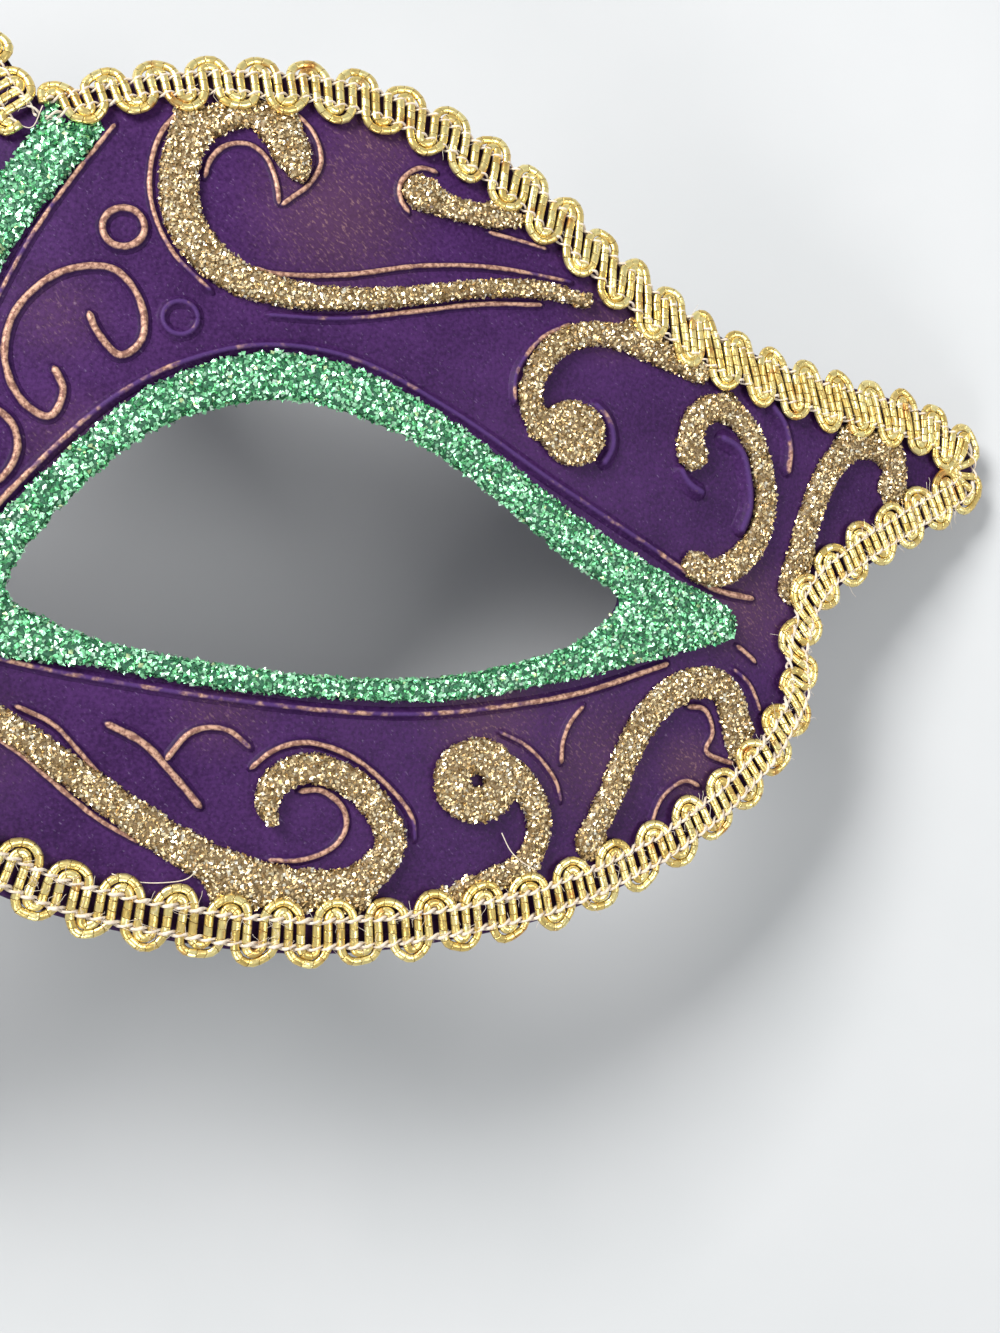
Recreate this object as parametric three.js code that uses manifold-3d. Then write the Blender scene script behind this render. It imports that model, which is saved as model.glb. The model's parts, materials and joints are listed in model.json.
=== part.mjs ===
// Cat's-eye half mask on a stick, lying face up on a table.
// Millimetres: +X runs to the viewer's right, +Y up the face and +Z out of it.
// The face is symmetric about x = 0, the eye corners lie near y = 0, and only the stick is one-sided.

import * as THREE from "three";
import { mergeVertices } from "three/addons/utils/BufferGeometryUtils.js";
import Module from "manifold-3d";

const wasm = await Module();
wasm.setup();

// The front of the wall, a height above the table worked out by frontHeight
const FACE_HEIGHT = 45.5;
const SWEEP_SLOPE = 0.75;
const SWEEP_ROUND = 57;
const BROW_START = 10;
const BROW_ROLL = 0.0045;
const CHEEK_START = -5;
const CHEEK_ROLL = 0.002;
const NOSE_RISE = 8;
const NOSE_HALF_WIDTH = 13;
const NOSE_TOP = 30;
const NOSE_FOOT = -15;
const LEAN = 0.024;

// Walls and layers
const WALL = 2;
const SHEET_CELL = 8;
const GLUE_GAP = 0.3;
const GLITTER_THICK = 0.7;
const GLITTER_TOP_SHARE = 0.7;
const GLITTER_STEP = 2.4;
const HEAD_LEAST = 5;
const RELIEF_HEIGHT = 0.5;
const RELIEF_ROOT = 0.6;
const RELIEF_WIDTH = 0.9;
const RELIEF_TOP_SHARE = 0.5;
const RING_SIDES = 14;
const RELIEF_STEP = 3.2;
const LID_OFFSET = 1.0;
const LID_STEP = 6;

// Braid along the edge
const BRAID_WIDTH = 5.2;
const BRAID_SWAY = 0.5;
const BRAID_THICK = 1.6;
const BRAID_TOP_SHARE = 0.8;
const BRAID_PITCH = 4.9;
const BRAID_CLEAR = 0.35;
const NOSE_JOINT = 0.25;

// Stick behind the wing on the viewer's left
const STICK_RADIUS = 4;
const STICK_SIDES = 12;
const STICK_CHAMFER = 0.8;
const STICK_X = -80;
const STICK_SEAT = -20;
const STICK_TOP = 15;
const STICK_LENGTH = 265;
const STICK_SLOPE = 0.043;

const table = (columns, ...rows) => {
  const names = columns.split(" ");
  return rows.map((row) => Object.fromEntries(row.map((value, i) => [names[i], value])));
};

// Edge of the right half: crest peak, dip, brow, wing tip, waist, cheek and nose arch
const EDGE = table(
  "x y",
  [0, 63], [6, 60.5], [11, 55], [15, 47.4], [17.8, 44.2], [22, 45.4], [28, 47.1], [36, 48.2], [44, 48.3],
  [52, 46.3], [60, 41.7], [75, 30.1], [83, 25.8], [92, 23.2], [101, 21.7], [107, 19.8], [110.6, 17.3],
  [111.4, 14.4], [110.7, 11.4], [106.5, 8.6], [99, 4.2], [93, -0.4], [91.2, -5.2], [91.2, -10.2],
  [87.4, -17], [78.4, -25], [65.7, -30.9], [54, -33.1], [44, -33.7], [34, -32.7], [20, -29.1], [12, -24.8],
  [6, -20], [0, -18],
);
const CREST_END_ROW = 3.6;
const CREST_TAIL = 1.6;
const SIDE_START_ROW = 4.35;

// How far in from the edge the braid's middle lies, by row of EDGE: it rides further out along the brow
const BRAID_INSET = table("row inset", [0, 2.2], [3.6, 2.2], [4.4, 1.5], [8.5, 1.5], [10.5, 2.2], [33, 2.2]);

// Right eye, one row for each section from the hole's edge to the rim's edge, inner corner first
const EYE = table(
  "holeX holeY rimX rimY",
  [16.3, -0.5, 12.2, -1.5],
  [18, 3.3, 14.3, 4.5],
  [23, 9.2, 20, 10.8],
  [28, 13.5, 26.3, 16.7],
  [34, 16, 33, 20.2],
  [40, 17, 40, 21.5],
  [46, 15.8, 47, 19.9],
  [53, 12.7, 54.3, 16.1],
  [60, 7.6, 62, 10.6],
  [66, 2.7, 69, 5.8],
  [69.6, 0.4, 76, 1.9],
  [70.1, -0.2, 82.4, -1.4],
  [70.2, -0.9, 82.9, -4.1],
  [69, -2.5, 78.6, -5.2],
  [65.5, -4.9, 71.5, -7],
  [60.5, -6.6, 62, -9.1],
  [53, -8, 53, -10.3],
  [45, -8, 44, -10],
  [34, -6.7, 33.5, -9],
  [24, -4.7, 23, -7],
  [18.3, -2.1, 15, -6],
);
const UPPER_LID = { from: 0.086, to: 0.457 };
const LOWER_LID = { from: 0.676, to: 0.962 };

// Gold scrolls of the right half: centre-line with its width, then round heads with an optional hole
const SCROLLS = {
  top_scroll: {
    line: table(
      "x y width",
      [40.8, 37.4, 1.2], [39.8, 40.2, 4.5], [38.4, 42.6, 4.4], [36.2, 44.2, 4.2], [32.8, 43.1, 4.2],
      [30.7, 40.5, 4.0], [30.1, 36.5, 4.0], [30.9, 32.4, 4.0], [34.4, 28.4, 3.6], [40.9, 26.6, 2.6],
      [49.8, 27.2, 1.9], [57.1, 28.7, 1.7], [63.5, 29.1, 1.7], [67.7, 28.2, 1.2],
    ),
    heads: [],
  },
  brow_comma: {
    line: table(
      "x y width",
      [51.4, 37.5, 3.2], [54.3, 36.4, 2.6], [57.1, 35.9, 2.3], [60.4, 35.5, 1.8], [64, 34.6, 1.2],
    ),
    heads: table("x y radius", [51.5, 37.5, 1.7]),
  },
  temple_hook: {
    line: table(
      "x y width",
      [80, 21.7, 2], [73.8, 24.1, 2.6], [68.7, 25.4, 2.5], [64.6, 24, 2.7], [62.1, 20.5, 2.6],
      [61.9, 17.4, 2.7], [63.3, 15.2, 3.2],
    ),
    heads: table("x y radius", [65.9, 15.4, 3.2]),
  },
  temple_c: {
    line: table(
      "x y width",
      [78, 13.8, 3], [77.8, 16.4, 3.2], [79.7, 18.9, 3.1], [82.7, 18.4, 2.8], [85, 15.2, 2.6],
      [86, 10.3, 2.6], [85.2, 6.2, 2.9], [82.9, 3.5, 3.2], [80.3, 2.2, 3.2], [78.3, 3, 2.9],
    ),
    heads: table("x y radius", [78, 13.9, 1.5], [78.3, 3.1, 1.45]),
  },
  wing_hook: {
    line: table(
      "x y width",
      [88, -0.2, 2.3], [89.4, 4, 2.7], [91.2, 9.2, 2.9], [93.1, 13.4, 3.1], [96, 16.2, 3.3], [99.5, 16, 3.6],
      [101, 13.8, 3.6], [99.8, 11.2, 3.2],
    ),
    heads: [],
  },
  cheek_spiral: {
    line: table(
      "x y width",
      [10.6, -8.3, 1.8], [15.7, -11.6, 2.6], [23.5, -17.9, 3.1], [31.8, -24, 3.7], [40.3, -27.2, 3.8],
      [45.8, -26.9, 3.7], [48.8, -23.6, 3.4], [47.8, -20.3, 3.2], [44.8, -17.3, 3], [41.2, -16.2, 3.1],
      [38.6, -17.5, 3.2], [37.9, -19.6, 2.5], [38.5, -21.6, 0.9],
    ),
    heads: [],
  },
  cheek_nine: {
    line: table(
      "x y width",
      [59.8, -16.8, 3.2], [62, -19.5, 3], [62.7, -22.5, 2.7], [61.7, -25.3, 2.6], [59.2, -26.8, 2.3],
      [55.4, -27.8, 1.8], [52.2, -28.2, 1.5],
    ),
    heads: table("x y radius hole", [56.7, -17.7, 4.1, 0.65]),
  },
  cheek_hook: {
    line: table(
      "x y width",
      [66.9, -24.8, 2.6], [69.7, -19.7, 2.9], [71.9, -14.3, 3.1], [74.8, -10.4, 3.4], [78.5, -8.6, 3.5],
      [81.5, -9.2, 3.5], [82.6, -12.2, 3.7], [83.1, -15.6, 3.3],
    ),
    heads: [],
  },
};

// Green V band, from the brow edge on the right to the nose bridge
const BROW_BAND = table(
  "x y width",
  [22.3, 43.2, 5.4], [18.2, 37.2, 5.2], [14.9, 31.8, 4.9], [12.4, 26.2, 4.6], [9.6, 19.1, 4.3],
  [6.5, 12.3, 4.1], [3, 6.8, 3.9], [0, 5, 3.8],
);

// Raised lines and rings moulded in the wall of the right half
const RELIEF_LINES = {
  horns: table(
    "x y",
    [19.8, 19.5], [20.8, 17.1], [19.7, 14.8], [17.4, 16.1], [15.9, 20], [16.8, 24.2], [20.5, 27.7],
    [24.8, 28.1], [27.4, 24.2], [26.5, 20.8], [24.4, 21.2], [22.7, 24.5],
  ),
  bridge_curl: table("x y", [12.2, 15.4], [15.8, 15], [17.1, 12.2], [15.8, 9.3], [12.8, 8.8], [11.4, 11.6]),
  cheek_stem: table("x y", [24.3, -12.1], [27.4, -13.8], [29.9, -16.7], [31.8, -19]),
  cheek_leaf: table("x y", [29.4, -14.7], [31.7, -12.7], [34.3, -12.6], [36.4, -13.8]),
  cheek_tick: table("x y", [67.1, -11], [65.2, -13.5], [64.8, -16.5]),
  scroll_lip: table("x y", [38.2, 36.2], [37.6, 39], [35.6, 40.3], [33.5, 39.4]),
  brow_ray: table("x y", [40.9, 29.1], [47.9, 30], [55.2, 31.1], [61.5, 31.2]),
  spiral_eye: table("x y", [40.9, -18.6], [43.9, -19.8], [44.4, -22], [42.2, -23.9], [38.6, -24]),
};
const RELIEF_RINGS = table("x y radius", [25.5, 32, 1.8], [30.5, 24, 1.5]);

const MATERIALS = {
  purple_shell: { color: 0x452a5c, roughness: 0.6, metalness: 0 },
  gold_glitter: { color: 0xbba478, roughness: 0.35, metalness: 0.8 },
  green_glitter: { color: 0x52a878, roughness: 0.35, metalness: 0.6 },
  gold_braid: { color: 0xd2b65c, roughness: 0.35, metalness: 0.7 },
  stick: { color: 0xb08d45, roughness: 0.5, metalness: 0.3 },
};

// Height of the wall's front: swept back to the wings, rolled at brow and cheek, raised over the nose
function frontHeight(x, y) {
  const sweep = Math.hypot(SWEEP_ROUND, SWEEP_SLOPE * x) - SWEEP_ROUND;
  const brow = BROW_ROLL * Math.max(0, y - BROW_START) ** 2;
  const cheek = CHEEK_ROLL * Math.max(0, CHEEK_START - y) ** 2;
  const noseShare = THREE.MathUtils.smoothstep(NOSE_TOP - y, 0, NOSE_TOP - NOSE_FOOT);
  const nose = NOSE_RISE * noseShare * Math.exp(-((x / NOSE_HALF_WIDTH) ** 2));
  return FACE_HEIGHT - sweep - brow - cheek + nose + LEAN * y;
}

function frontNormal(x, y) {
  const step = 0.01;
  const slopeX = (frontHeight(x + step, y) - frontHeight(x - step, y)) / (2 * step);
  const slopeY = (frontHeight(x, y + step) - frontHeight(x, y - step)) / (2 * step);
  return new THREE.Vector3(-slopeX, -slopeY, 1).normalize();
}

function onFront(x, y, lift) {
  return new THREE.Vector3(x, y, frontHeight(x, y)).addScaledVector(frontNormal(x, y), lift);
}

// Smooth line through a table's rows, with the width carried as its third coordinate
function lineThrough(rows, closed = false) {
  const points = rows.map((row) => new THREE.Vector3(row.x, row.y, row.width ?? 0));
  return new THREE.CatmullRomCurve3(points, closed);
}

// Point beside a line drawn on the front: across is true millimetres to the left of its run
function besideLine(line, t, across, lift) {
  const at = line.getPoint(t);
  const run = line.getTangent(t);
  const normal = frontNormal(at.x, at.y);
  run.z = -(normal.x * run.x + normal.y * run.y) / normal.z;
  const left = normal.cross(run.normalize());
  return onFront(at.x + left.x * across, at.y + left.y * across, lift);
}

// Moves every vertex of a simple geometry, and keeps shared positions only
function bend(geometry, move) {
  const position = geometry.attributes.position;
  const vertex = new THREE.Vector3();
  for (let i = 0; i < position.count; i += 1) {
    vertex.fromBufferAttribute(position, i);
    const moved = move(vertex.clone());
    position.setXYZ(i, moved.x, moved.y, moved.z);
  }
  return weld(geometry);
}

function weld(geometry) {
  geometry.deleteAttribute("normal");
  geometry.deleteAttribute("uv");
  return mergeVertices(geometry);
}

function toSolid(geometry) {
  const vertProperties = new Float32Array(geometry.attributes.position.array);
  const triVerts = new Uint32Array(geometry.index.array);
  return new wasm.Manifold(new wasm.Mesh({ numProp: 3, vertProperties, triVerts }));
}

function toGeometry(solid) {
  const { vertProperties, triVerts } = solid.getMesh();
  const geometry = new THREE.BufferGeometry();
  geometry.setAttribute("position", new THREE.BufferAttribute(vertProperties, 3));
  geometry.setIndex(new THREE.BufferAttribute(triVerts, 1));
  return geometry;
}

function mirrored(geometry) {
  const copy = geometry.clone().applyMatrix4(new THREE.Matrix4().makeScale(-1, 1, 1));
  const index = copy.index.array;
  for (let i = 0; i < index.length; i += 3) {
    [index[i + 1], index[i + 2]] = [index[i + 2], index[i + 1]];
  }
  return copy;
}

// Strip along a line: a box bent to it, with a narrower top
function strip(line, form) {
  const { segments, bottom, top, topShare, width, sway = () => 0, from = 0, to = 1, offset = 0 } = form;
  const box = new THREE.BoxGeometry(1, 1, 1, segments, 1, 1);
  return bend(box, (v) => {
    const t = THREE.MathUtils.lerp(from, to, v.x + 0.5);
    const share = v.z > 0 ? topShare : 1;
    const across = offset + sway(v.x + 0.5) + v.y * share * width(t);
    return besideLine(line, t, across, v.z > 0 ? top : bottom);
  });
}

// Round pad on the front, with a hole through it where one is given
function pad({ x, y, radius, hole }, { segments, bottom, top }) {
  const outline = new THREE.Shape().absarc(0, 0, radius, 0, 2 * Math.PI);
  if (hole) {
    outline.holes.push(new THREE.Path().absarc(0, 0, hole, 0, 2 * Math.PI, true));
  }
  const disc = new THREE.ExtrudeGeometry(outline, { depth: 1, bevelEnabled: false, curveSegments: segments });
  return bend(disc, (v) => onFront(x + v.x, y + v.y, v.z > 0.5 ? top : bottom));
}

const toLeft = (row) => ({ ...row, x: -row.x });
const edgeLine = lineThrough([...EDGE, ...EDGE.slice(1, -1).reverse().map(toLeft)], true);
const edgeRow = 1 / (2 * (EDGE.length - 1));
const holeLine = lineThrough(EYE.map((row) => ({ x: row.holeX, y: row.holeY })), true);
const rimLine = lineThrough(EYE.map((row) => ({ x: row.rimX, y: row.rimY })), true);

// Wall of the mask
function outlinePrism(points) {
  const depth = 4 * FACE_HEIGHT;
  const shape = new THREE.Shape(points.map((p) => new THREE.Vector2(p.x, p.y)));
  const prism = new THREE.ExtrudeGeometry(shape, { depth, bevelEnabled: false });
  return toSolid(weld(prism.translate(0, 0, -depth / 2)));
}

function wallSheet() {
  const halfWidth = Math.max(...EDGE.map((row) => row.x)) + SHEET_CELL;
  const low = Math.min(...EDGE.map((row) => row.y)) - SHEET_CELL;
  const high = EDGE[0].y + SHEET_CELL;
  const columns = Math.round((2 * halfWidth) / SHEET_CELL);
  const rows = Math.round((high - low) / SHEET_CELL);
  const sheet = new THREE.BoxGeometry(2 * halfWidth, 1, 1, columns, rows, 1);
  return toSolid(bend(sheet, (v) => {
    const y = THREE.MathUtils.lerp(low, high, v.y + 0.5);
    return onFront(v.x, y, v.z > 0 ? 0 : -WALL);
  }));
}

function reliefStrip(line, options = {}) {
  const { step = RELIEF_STEP, from = 0, to = 1, offset = 0 } = options;
  const segments = Math.ceil((line.getLength() * (to - from)) / step);
  const width = () => RELIEF_WIDTH;
  const section = { bottom: -RELIEF_ROOT, top: RELIEF_HEIGHT, topShare: RELIEF_TOP_SHARE, width };
  return strip(line, { ...section, segments, from, to, offset });
}

function reliefRing({ x, y, radius }) {
  const ring = new THREE.TorusGeometry(radius, RELIEF_HEIGHT, 4, RING_SIDES);
  return bend(ring, (v) => onFront(x + v.x, y + v.y, v.z));
}

function maskShell() {
  const outline = edgeLine.getPoints(5 * (EDGE.length - 1)).slice(0, -1);
  const hole = holeLine.getPoints(2 * EYE.length).slice(0, -1);
  const rightHole = outlinePrism(hole);
  const leftHole = outlinePrism(hole.map((p) => new THREE.Vector3(-p.x, p.y, 0)).reverse());
  let wall = wallSheet().intersect(outlinePrism(outline.reverse()));
  wall = wall.subtract(rightHole).subtract(leftHole);
  const ridges = [
    ...Object.values(RELIEF_LINES).map((rows) => reliefStrip(lineThrough(rows))),
    ...RELIEF_RINGS.map(reliefRing),
    reliefStrip(rimLine, { ...UPPER_LID, step: LID_STEP, offset: LID_OFFSET }),
    reliefStrip(rimLine, { ...LOWER_LID, step: LID_STEP, offset: LID_OFFSET }),
  ];
  for (const ridge of ridges) {
    wall = wall.add(toSolid(ridge)).add(toSolid(mirrored(ridge)));
  }
  return toGeometry(wall);
}

// Braid: a band that sways from side to side along the edge
function insetAt(row) {
  const next = Math.max(1, BRAID_INSET.findIndex((mark) => mark.row >= row));
  const [low, high] = [BRAID_INSET[next - 1], BRAID_INSET[next]];
  return THREE.MathUtils.mapLinear(row, low.row, high.row, low.inset, high.inset);
}

function insetPath(fromRow, toRow) {
  const steps = 160;
  const points = [];
  for (let i = 0; i <= steps; i += 1) {
    const row = THREE.MathUtils.lerp(fromRow, toRow, i / steps);
    points.push(besideLine(edgeLine, row * edgeRow, -insetAt(row), 0).setZ(0));
  }
  return points;
}

function lengthened(points, reach) {
  const beyond = (end, before) => end.clone().sub(before).setLength(reach).add(end);
  return [beyond(points[0], points[1]), ...points, beyond(points.at(-1), points.at(-2))];
}

// Even steps along the front, so that the braid's loops keep their pitch on the slopes
function evenLine(points) {
  const onWall = points.map((p) => onFront(p.x, p.y, 0));
  const run = new THREE.CatmullRomCurve3(onWall);
  const count = Math.round(run.getLength() / (BRAID_PITCH / 2));
  const even = run.getSpacedPoints(count);
  return { line: new THREE.CatmullRomCurve3(even.map((p) => new THREE.Vector3(p.x, p.y, 0))), count };
}

function braid({ line, count }) {
  const sway = (share) => (Math.round(share * count) % 2 === 0 ? BRAID_SWAY : -BRAID_SWAY);
  const width = () => BRAID_WIDTH;
  const section = { bottom: GLUE_GAP, top: GLUE_GAP + BRAID_THICK, topShare: BRAID_TOP_SHARE, width };
  return strip(line, { ...section, segments: count, sway });
}

// Room that the braid takes, cut out of the glitter that runs under it
function braidRoom({ line, count }) {
  const width = () => BRAID_WIDTH + 2 * (BRAID_SWAY + BRAID_CLEAR);
  return toSolid(strip(line, { segments: count, bottom: -WALL, top: 2 * BRAID_THICK, topShare: 1, width }));
}

const crestHalf = insetPath(0, CREST_END_ROW);
const crestLeft = crestHalf.slice(1).reverse().map((p) => new THREE.Vector3(-p.x, p.y, 0));
const crestPath = lengthened([...crestLeft, ...crestHalf], CREST_TAIL);
const sidePath = insetPath(SIDE_START_ROW, EDGE.length - 1).filter((p) => p.x > NOSE_JOINT);
const crestRoom = braidRoom(evenLine(lengthened(crestPath, BRAID_CLEAR)));
const sideRoom = braidRoom(evenLine(lengthened(sidePath, BRAID_CLEAR)));

// Glitter
const GLITTER = { bottom: GLUE_GAP, top: GLUE_GAP + GLITTER_THICK, topShare: GLITTER_TOP_SHARE };

function largestBody(solid) {
  const bodies = solid.decompose();
  bodies.sort((a, b) => b.volume() - a.volume());
  return bodies[0];
}

function glitterStrip(rows) {
  const line = lineThrough(rows);
  const flat = lineThrough(rows.map(({ x, y }) => ({ x, y })));
  const segments = Math.ceil(flat.getLength() / GLITTER_STEP);
  return strip(line, { ...GLITTER, segments, width: (t) => line.getPoint(t).z });
}

function scroll({ line, heads }) {
  let solid = toSolid(glitterStrip(line));
  for (const head of heads) {
    const segments = Math.max(HEAD_LEAST, Math.round((Math.PI * head.radius) / GLITTER_STEP));
    solid = solid.add(toSolid(pad(head, { ...GLITTER, segments })));
  }
  return toGeometry(largestBody(solid.subtract(sideRoom)));
}

function browBand() {
  const left = BROW_BAND.slice(0, -1).reverse().map(toLeft);
  const band = toSolid(glitterStrip([...BROW_BAND, ...left]));
  const room = [crestRoom, sideRoom, toSolid(mirrored(toGeometry(sideRoom)))];
  return toGeometry(largestBody(room.reduce((solid, cut) => solid.subtract(cut), band)));
}

// Ring round the eye, from the hole's edge to the rim's edge
function eyeRim() {
  const ringRadius = 2;
  const ring = new THREE.TorusGeometry(ringRadius, 1, 6, 2 * EYE.length);
  return bend(ring, (v) => {
    const turn = (Math.atan2(v.y, v.x) / (2 * Math.PI) + 1) % 1;
    const out = (Math.hypot(v.x, v.y) - ringRadius + 1) / 2;
    const at = holeLine.getPoint(1 - turn).lerp(rimLine.getPoint(1 - turn), out);
    const lift = v.z > 0.1 ? GLITTER.top : v.z < -0.1 ? GLITTER.bottom : GLUE_GAP + GLITTER_THICK / 2;
    return onFront(at.x, at.y, lift);
  });
}

// Stick: a dowel with chamfered ends, laid along the back so that its foot meets the table
function stick() {
  const r = STICK_RADIUS;
  const profile = [
    [0, 0], [r - STICK_CHAMFER, 0], [r, STICK_CHAMFER], [r, STICK_LENGTH - STICK_CHAMFER],
    [r - STICK_CHAMFER, STICK_LENGTH], [0, STICK_LENGTH],
  ].map(([radius, along]) => new THREE.Vector2(radius, along));
  const turn = Math.PI / STICK_SIDES;
  return weld(new THREE.LatheGeometry(profile, STICK_SIDES, turn));
}

function mesh(name, geometry, slot) {
  const piece = new THREE.Mesh(geometry, new THREE.MeshStandardMaterial(MATERIALS[slot]));
  piece.name = name;
  return piece;
}

const mask = new THREE.Group();

function addPair(name, geometry, slot) {
  mask.add(mesh(`${name}_right`, geometry, slot), mesh(`${name}_left`, mirrored(geometry), slot));
}

mask.add(mesh("mask_shell", maskShell(), "purple_shell"));
addPair("eye_rim", eyeRim(), "green_glitter");
mask.add(mesh("brow_band", browBand(), "green_glitter"));
for (const [name, form] of Object.entries(SCROLLS)) {
  addPair(name, scroll(form), "gold_glitter");
}
mask.add(mesh("trim_crest", braid(evenLine(crestPath)), "gold_braid"));
addPair("trim", braid(evenLine(sidePath)), "gold_braid");

const dowel = mesh("stick", stick(), "stick");
const tilt = Math.atan(STICK_SLOPE);
const seat = onFront(STICK_X, STICK_SEAT, -(WALL + GLUE_GAP + STICK_RADIUS));
const footY = STICK_TOP - STICK_LENGTH * Math.cos(tilt);
dowel.position.set(seat.x, footY, seat.z + STICK_SLOPE * (footY - seat.y));
dowel.rotation.x = tilt;
mask.add(dowel);

// Origin under the middle of the whole, on the table
const box = new THREE.Box3().setFromObject(mask, true);
const middle = box.getCenter(new THREE.Vector3());
mask.position.set(-middle.x, -middle.y, -box.min.z);

const root = new THREE.Group();
root.add(mask);
export default root;
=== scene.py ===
# %% [markdown]
# # A cat's-eye mask on a stick
# The real mask is a thin moulded wall painted purple. Raised lines on it are rubbed with copper,
# glitter fills the scrolls and rings the eyes, and a gold gimp braid hides the cut edge.
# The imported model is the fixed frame: it says where each piece is, and this lesson makes the pieces
# anew at a size where a single grain of glitter shows.

# %% Load the frame
import json

import bmesh
import bpy
import numpy as np
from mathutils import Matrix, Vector


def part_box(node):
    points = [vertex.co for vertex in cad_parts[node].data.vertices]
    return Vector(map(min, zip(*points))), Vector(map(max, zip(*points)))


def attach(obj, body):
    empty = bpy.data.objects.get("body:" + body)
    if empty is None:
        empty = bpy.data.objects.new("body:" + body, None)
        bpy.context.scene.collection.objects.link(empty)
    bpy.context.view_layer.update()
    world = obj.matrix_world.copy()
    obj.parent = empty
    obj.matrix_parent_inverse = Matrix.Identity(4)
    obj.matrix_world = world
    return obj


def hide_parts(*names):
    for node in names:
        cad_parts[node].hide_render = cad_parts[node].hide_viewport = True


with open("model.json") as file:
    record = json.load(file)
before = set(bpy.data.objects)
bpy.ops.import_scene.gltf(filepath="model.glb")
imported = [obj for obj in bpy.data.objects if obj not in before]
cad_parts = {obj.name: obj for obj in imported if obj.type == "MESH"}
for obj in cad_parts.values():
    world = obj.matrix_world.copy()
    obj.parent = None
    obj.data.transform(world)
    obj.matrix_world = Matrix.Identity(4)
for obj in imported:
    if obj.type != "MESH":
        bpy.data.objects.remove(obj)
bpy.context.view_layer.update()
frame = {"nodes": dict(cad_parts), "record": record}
MM = 0.001

# %% [markdown]
# ## Camera
# The photograph looks straight down on one half of the mask from about a hand's length above it.
# A Blender camera with no rotation already looks down -Z with +Y up the picture, so only its place
# and its lens are needed.

# %% Place the camera
CAMERA_AT = Vector((59, 86.01, 206.25)) * MM
LENS = 50
SENSOR = 36


def link(thing):
    bpy.context.scene.collection.objects.link(thing)
    return thing


camera = link(bpy.data.objects.new("camera", bpy.data.cameras.new("camera")))
camera.data.lens = LENS
camera.data.sensor_width = SENSOR
camera.data.clip_start = 10 * MM
camera.location = CAMERA_AT
bpy.context.scene.camera = camera
print("camera", CAMERA_AT)

# %% [markdown]
# ## Node helpers
# A material is a small graph. Writing each node as one call, with plain values for its own sockets
# and other nodes' sockets for its links, keeps that graph readable from top to bottom.

# %% Add nodes and materials
def fill(tree, socket, value):
    """Links another node's socket to this one, or sets a plain value on it."""
    if isinstance(value, bpy.types.NodeSocket):
        tree.links.new(value, socket)
    else:
        socket.default_value = value


def add_node(tree, kind, inputs=None, **settings):
    made = tree.nodes.new(kind)
    for name, value in settings.items():
        setattr(made, name, value)
    for name, value in (inputs or {}).items():
        fill(tree, made.inputs[name], value)
    return made


def math_node(tree, operation, *values):
    return add_node(tree, "ShaderNodeMath", dict(enumerate(values)), operation=operation).outputs[0]


def mix_colour(tree, share, first, second):
    made = add_node(tree, "ShaderNodeMix", data_type="RGBA")
    for name, value in {"Factor": share, "A": first, "B": second}.items():
        fill(tree, next(s for s in made.inputs if s.name == name and s.enabled), value)
    return next(s for s in made.outputs if s.enabled)


def step_between(tree, value, low, high):
    """Rises smoothly from 0 to 1 as the value goes from low to high."""
    inputs = {"Value": value, "From Min": low, "From Max": high}
    made = add_node(tree, "ShaderNodeMapRange", inputs, interpolation_type="SMOOTHSTEP")
    return made.outputs[0]


def add_noise(tree, place, scale, detail=3):
    inputs = {"Vector": place, "Scale": scale, "Detail": detail}
    return add_node(tree, "ShaderNodeTexNoise", inputs).outputs[0]


def attribute(tree, name):
    return add_node(tree, "ShaderNodeAttribute", attribute_name=name).outputs["Fac"]


def new_material(name, **shader):
    """A material with one Principled shader, whose plain sockets are set here."""
    made = bpy.data.materials.new(name)
    made.use_nodes = True
    tree = made.node_tree
    principled = tree.nodes["Principled BSDF"]
    for socket, value in shader.items():
        principled.inputs[socket.replace("_", " ")].default_value = value
    return made, tree, principled


def add_bump(tree, principled, height, strength, depth):
    inputs = {"Height": height, "Strength": strength, "Distance": depth}
    bump = add_node(tree, "ShaderNodeBump", inputs)
    tree.links.new(bump.outputs[0], principled.inputs["Normal"])


print("node helpers ready")

# %% [markdown]
# ## A shared grain
# Paint, glue and wood all show a fine grain with larger, softer clouds in it. One node group holds
# both, and each finish has its own sizes, so the effect is built once.

# %% Build the grain group
FINISH_GRAINS = {
    # finish: fine grains to the metre, clouds to the metre
    "table": (900, 30),
    "paint": (3000, 160),
    "glue": (2600, 300),
    "foil": (1300, 420),
    "yarn": (2200, 300),
    "stick": (1800, 90),
}


def build_grain():
    group = bpy.data.node_groups.new("surface_grain", "ShaderNodeTree")
    for name in ("Fine Scale", "Cloud Scale"):
        group.interface.new_socket(name, in_out="INPUT", socket_type="NodeSocketFloat")
    for name in ("Grain", "Cloud"):
        group.interface.new_socket(name, in_out="OUTPUT", socket_type="NodeSocketFloat")
    given = group.nodes.new("NodeGroupInput")
    place = group.nodes.new("ShaderNodeTexCoord").outputs["Object"]
    out = group.nodes.new("NodeGroupOutput")
    group.links.new(add_noise(group, place, given.outputs["Fine Scale"]), out.inputs["Grain"])
    group.links.new(add_noise(group, place, given.outputs["Cloud Scale"], 4), out.inputs["Cloud"])
    return group


GRAIN = build_grain()


def add_grain(tree, finish):
    """Masks of the grain and the clouds, at one finish's sizes."""
    made = add_node(tree, "ShaderNodeGroup", node_tree=GRAIN)
    for name, scale in zip(("Fine Scale", "Cloud Scale"), FINISH_GRAINS[finish]):
        made.inputs[name].default_value = scale
    return made.outputs["Grain"], made.outputs["Cloud"]


print("group", GRAIN.name)

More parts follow.
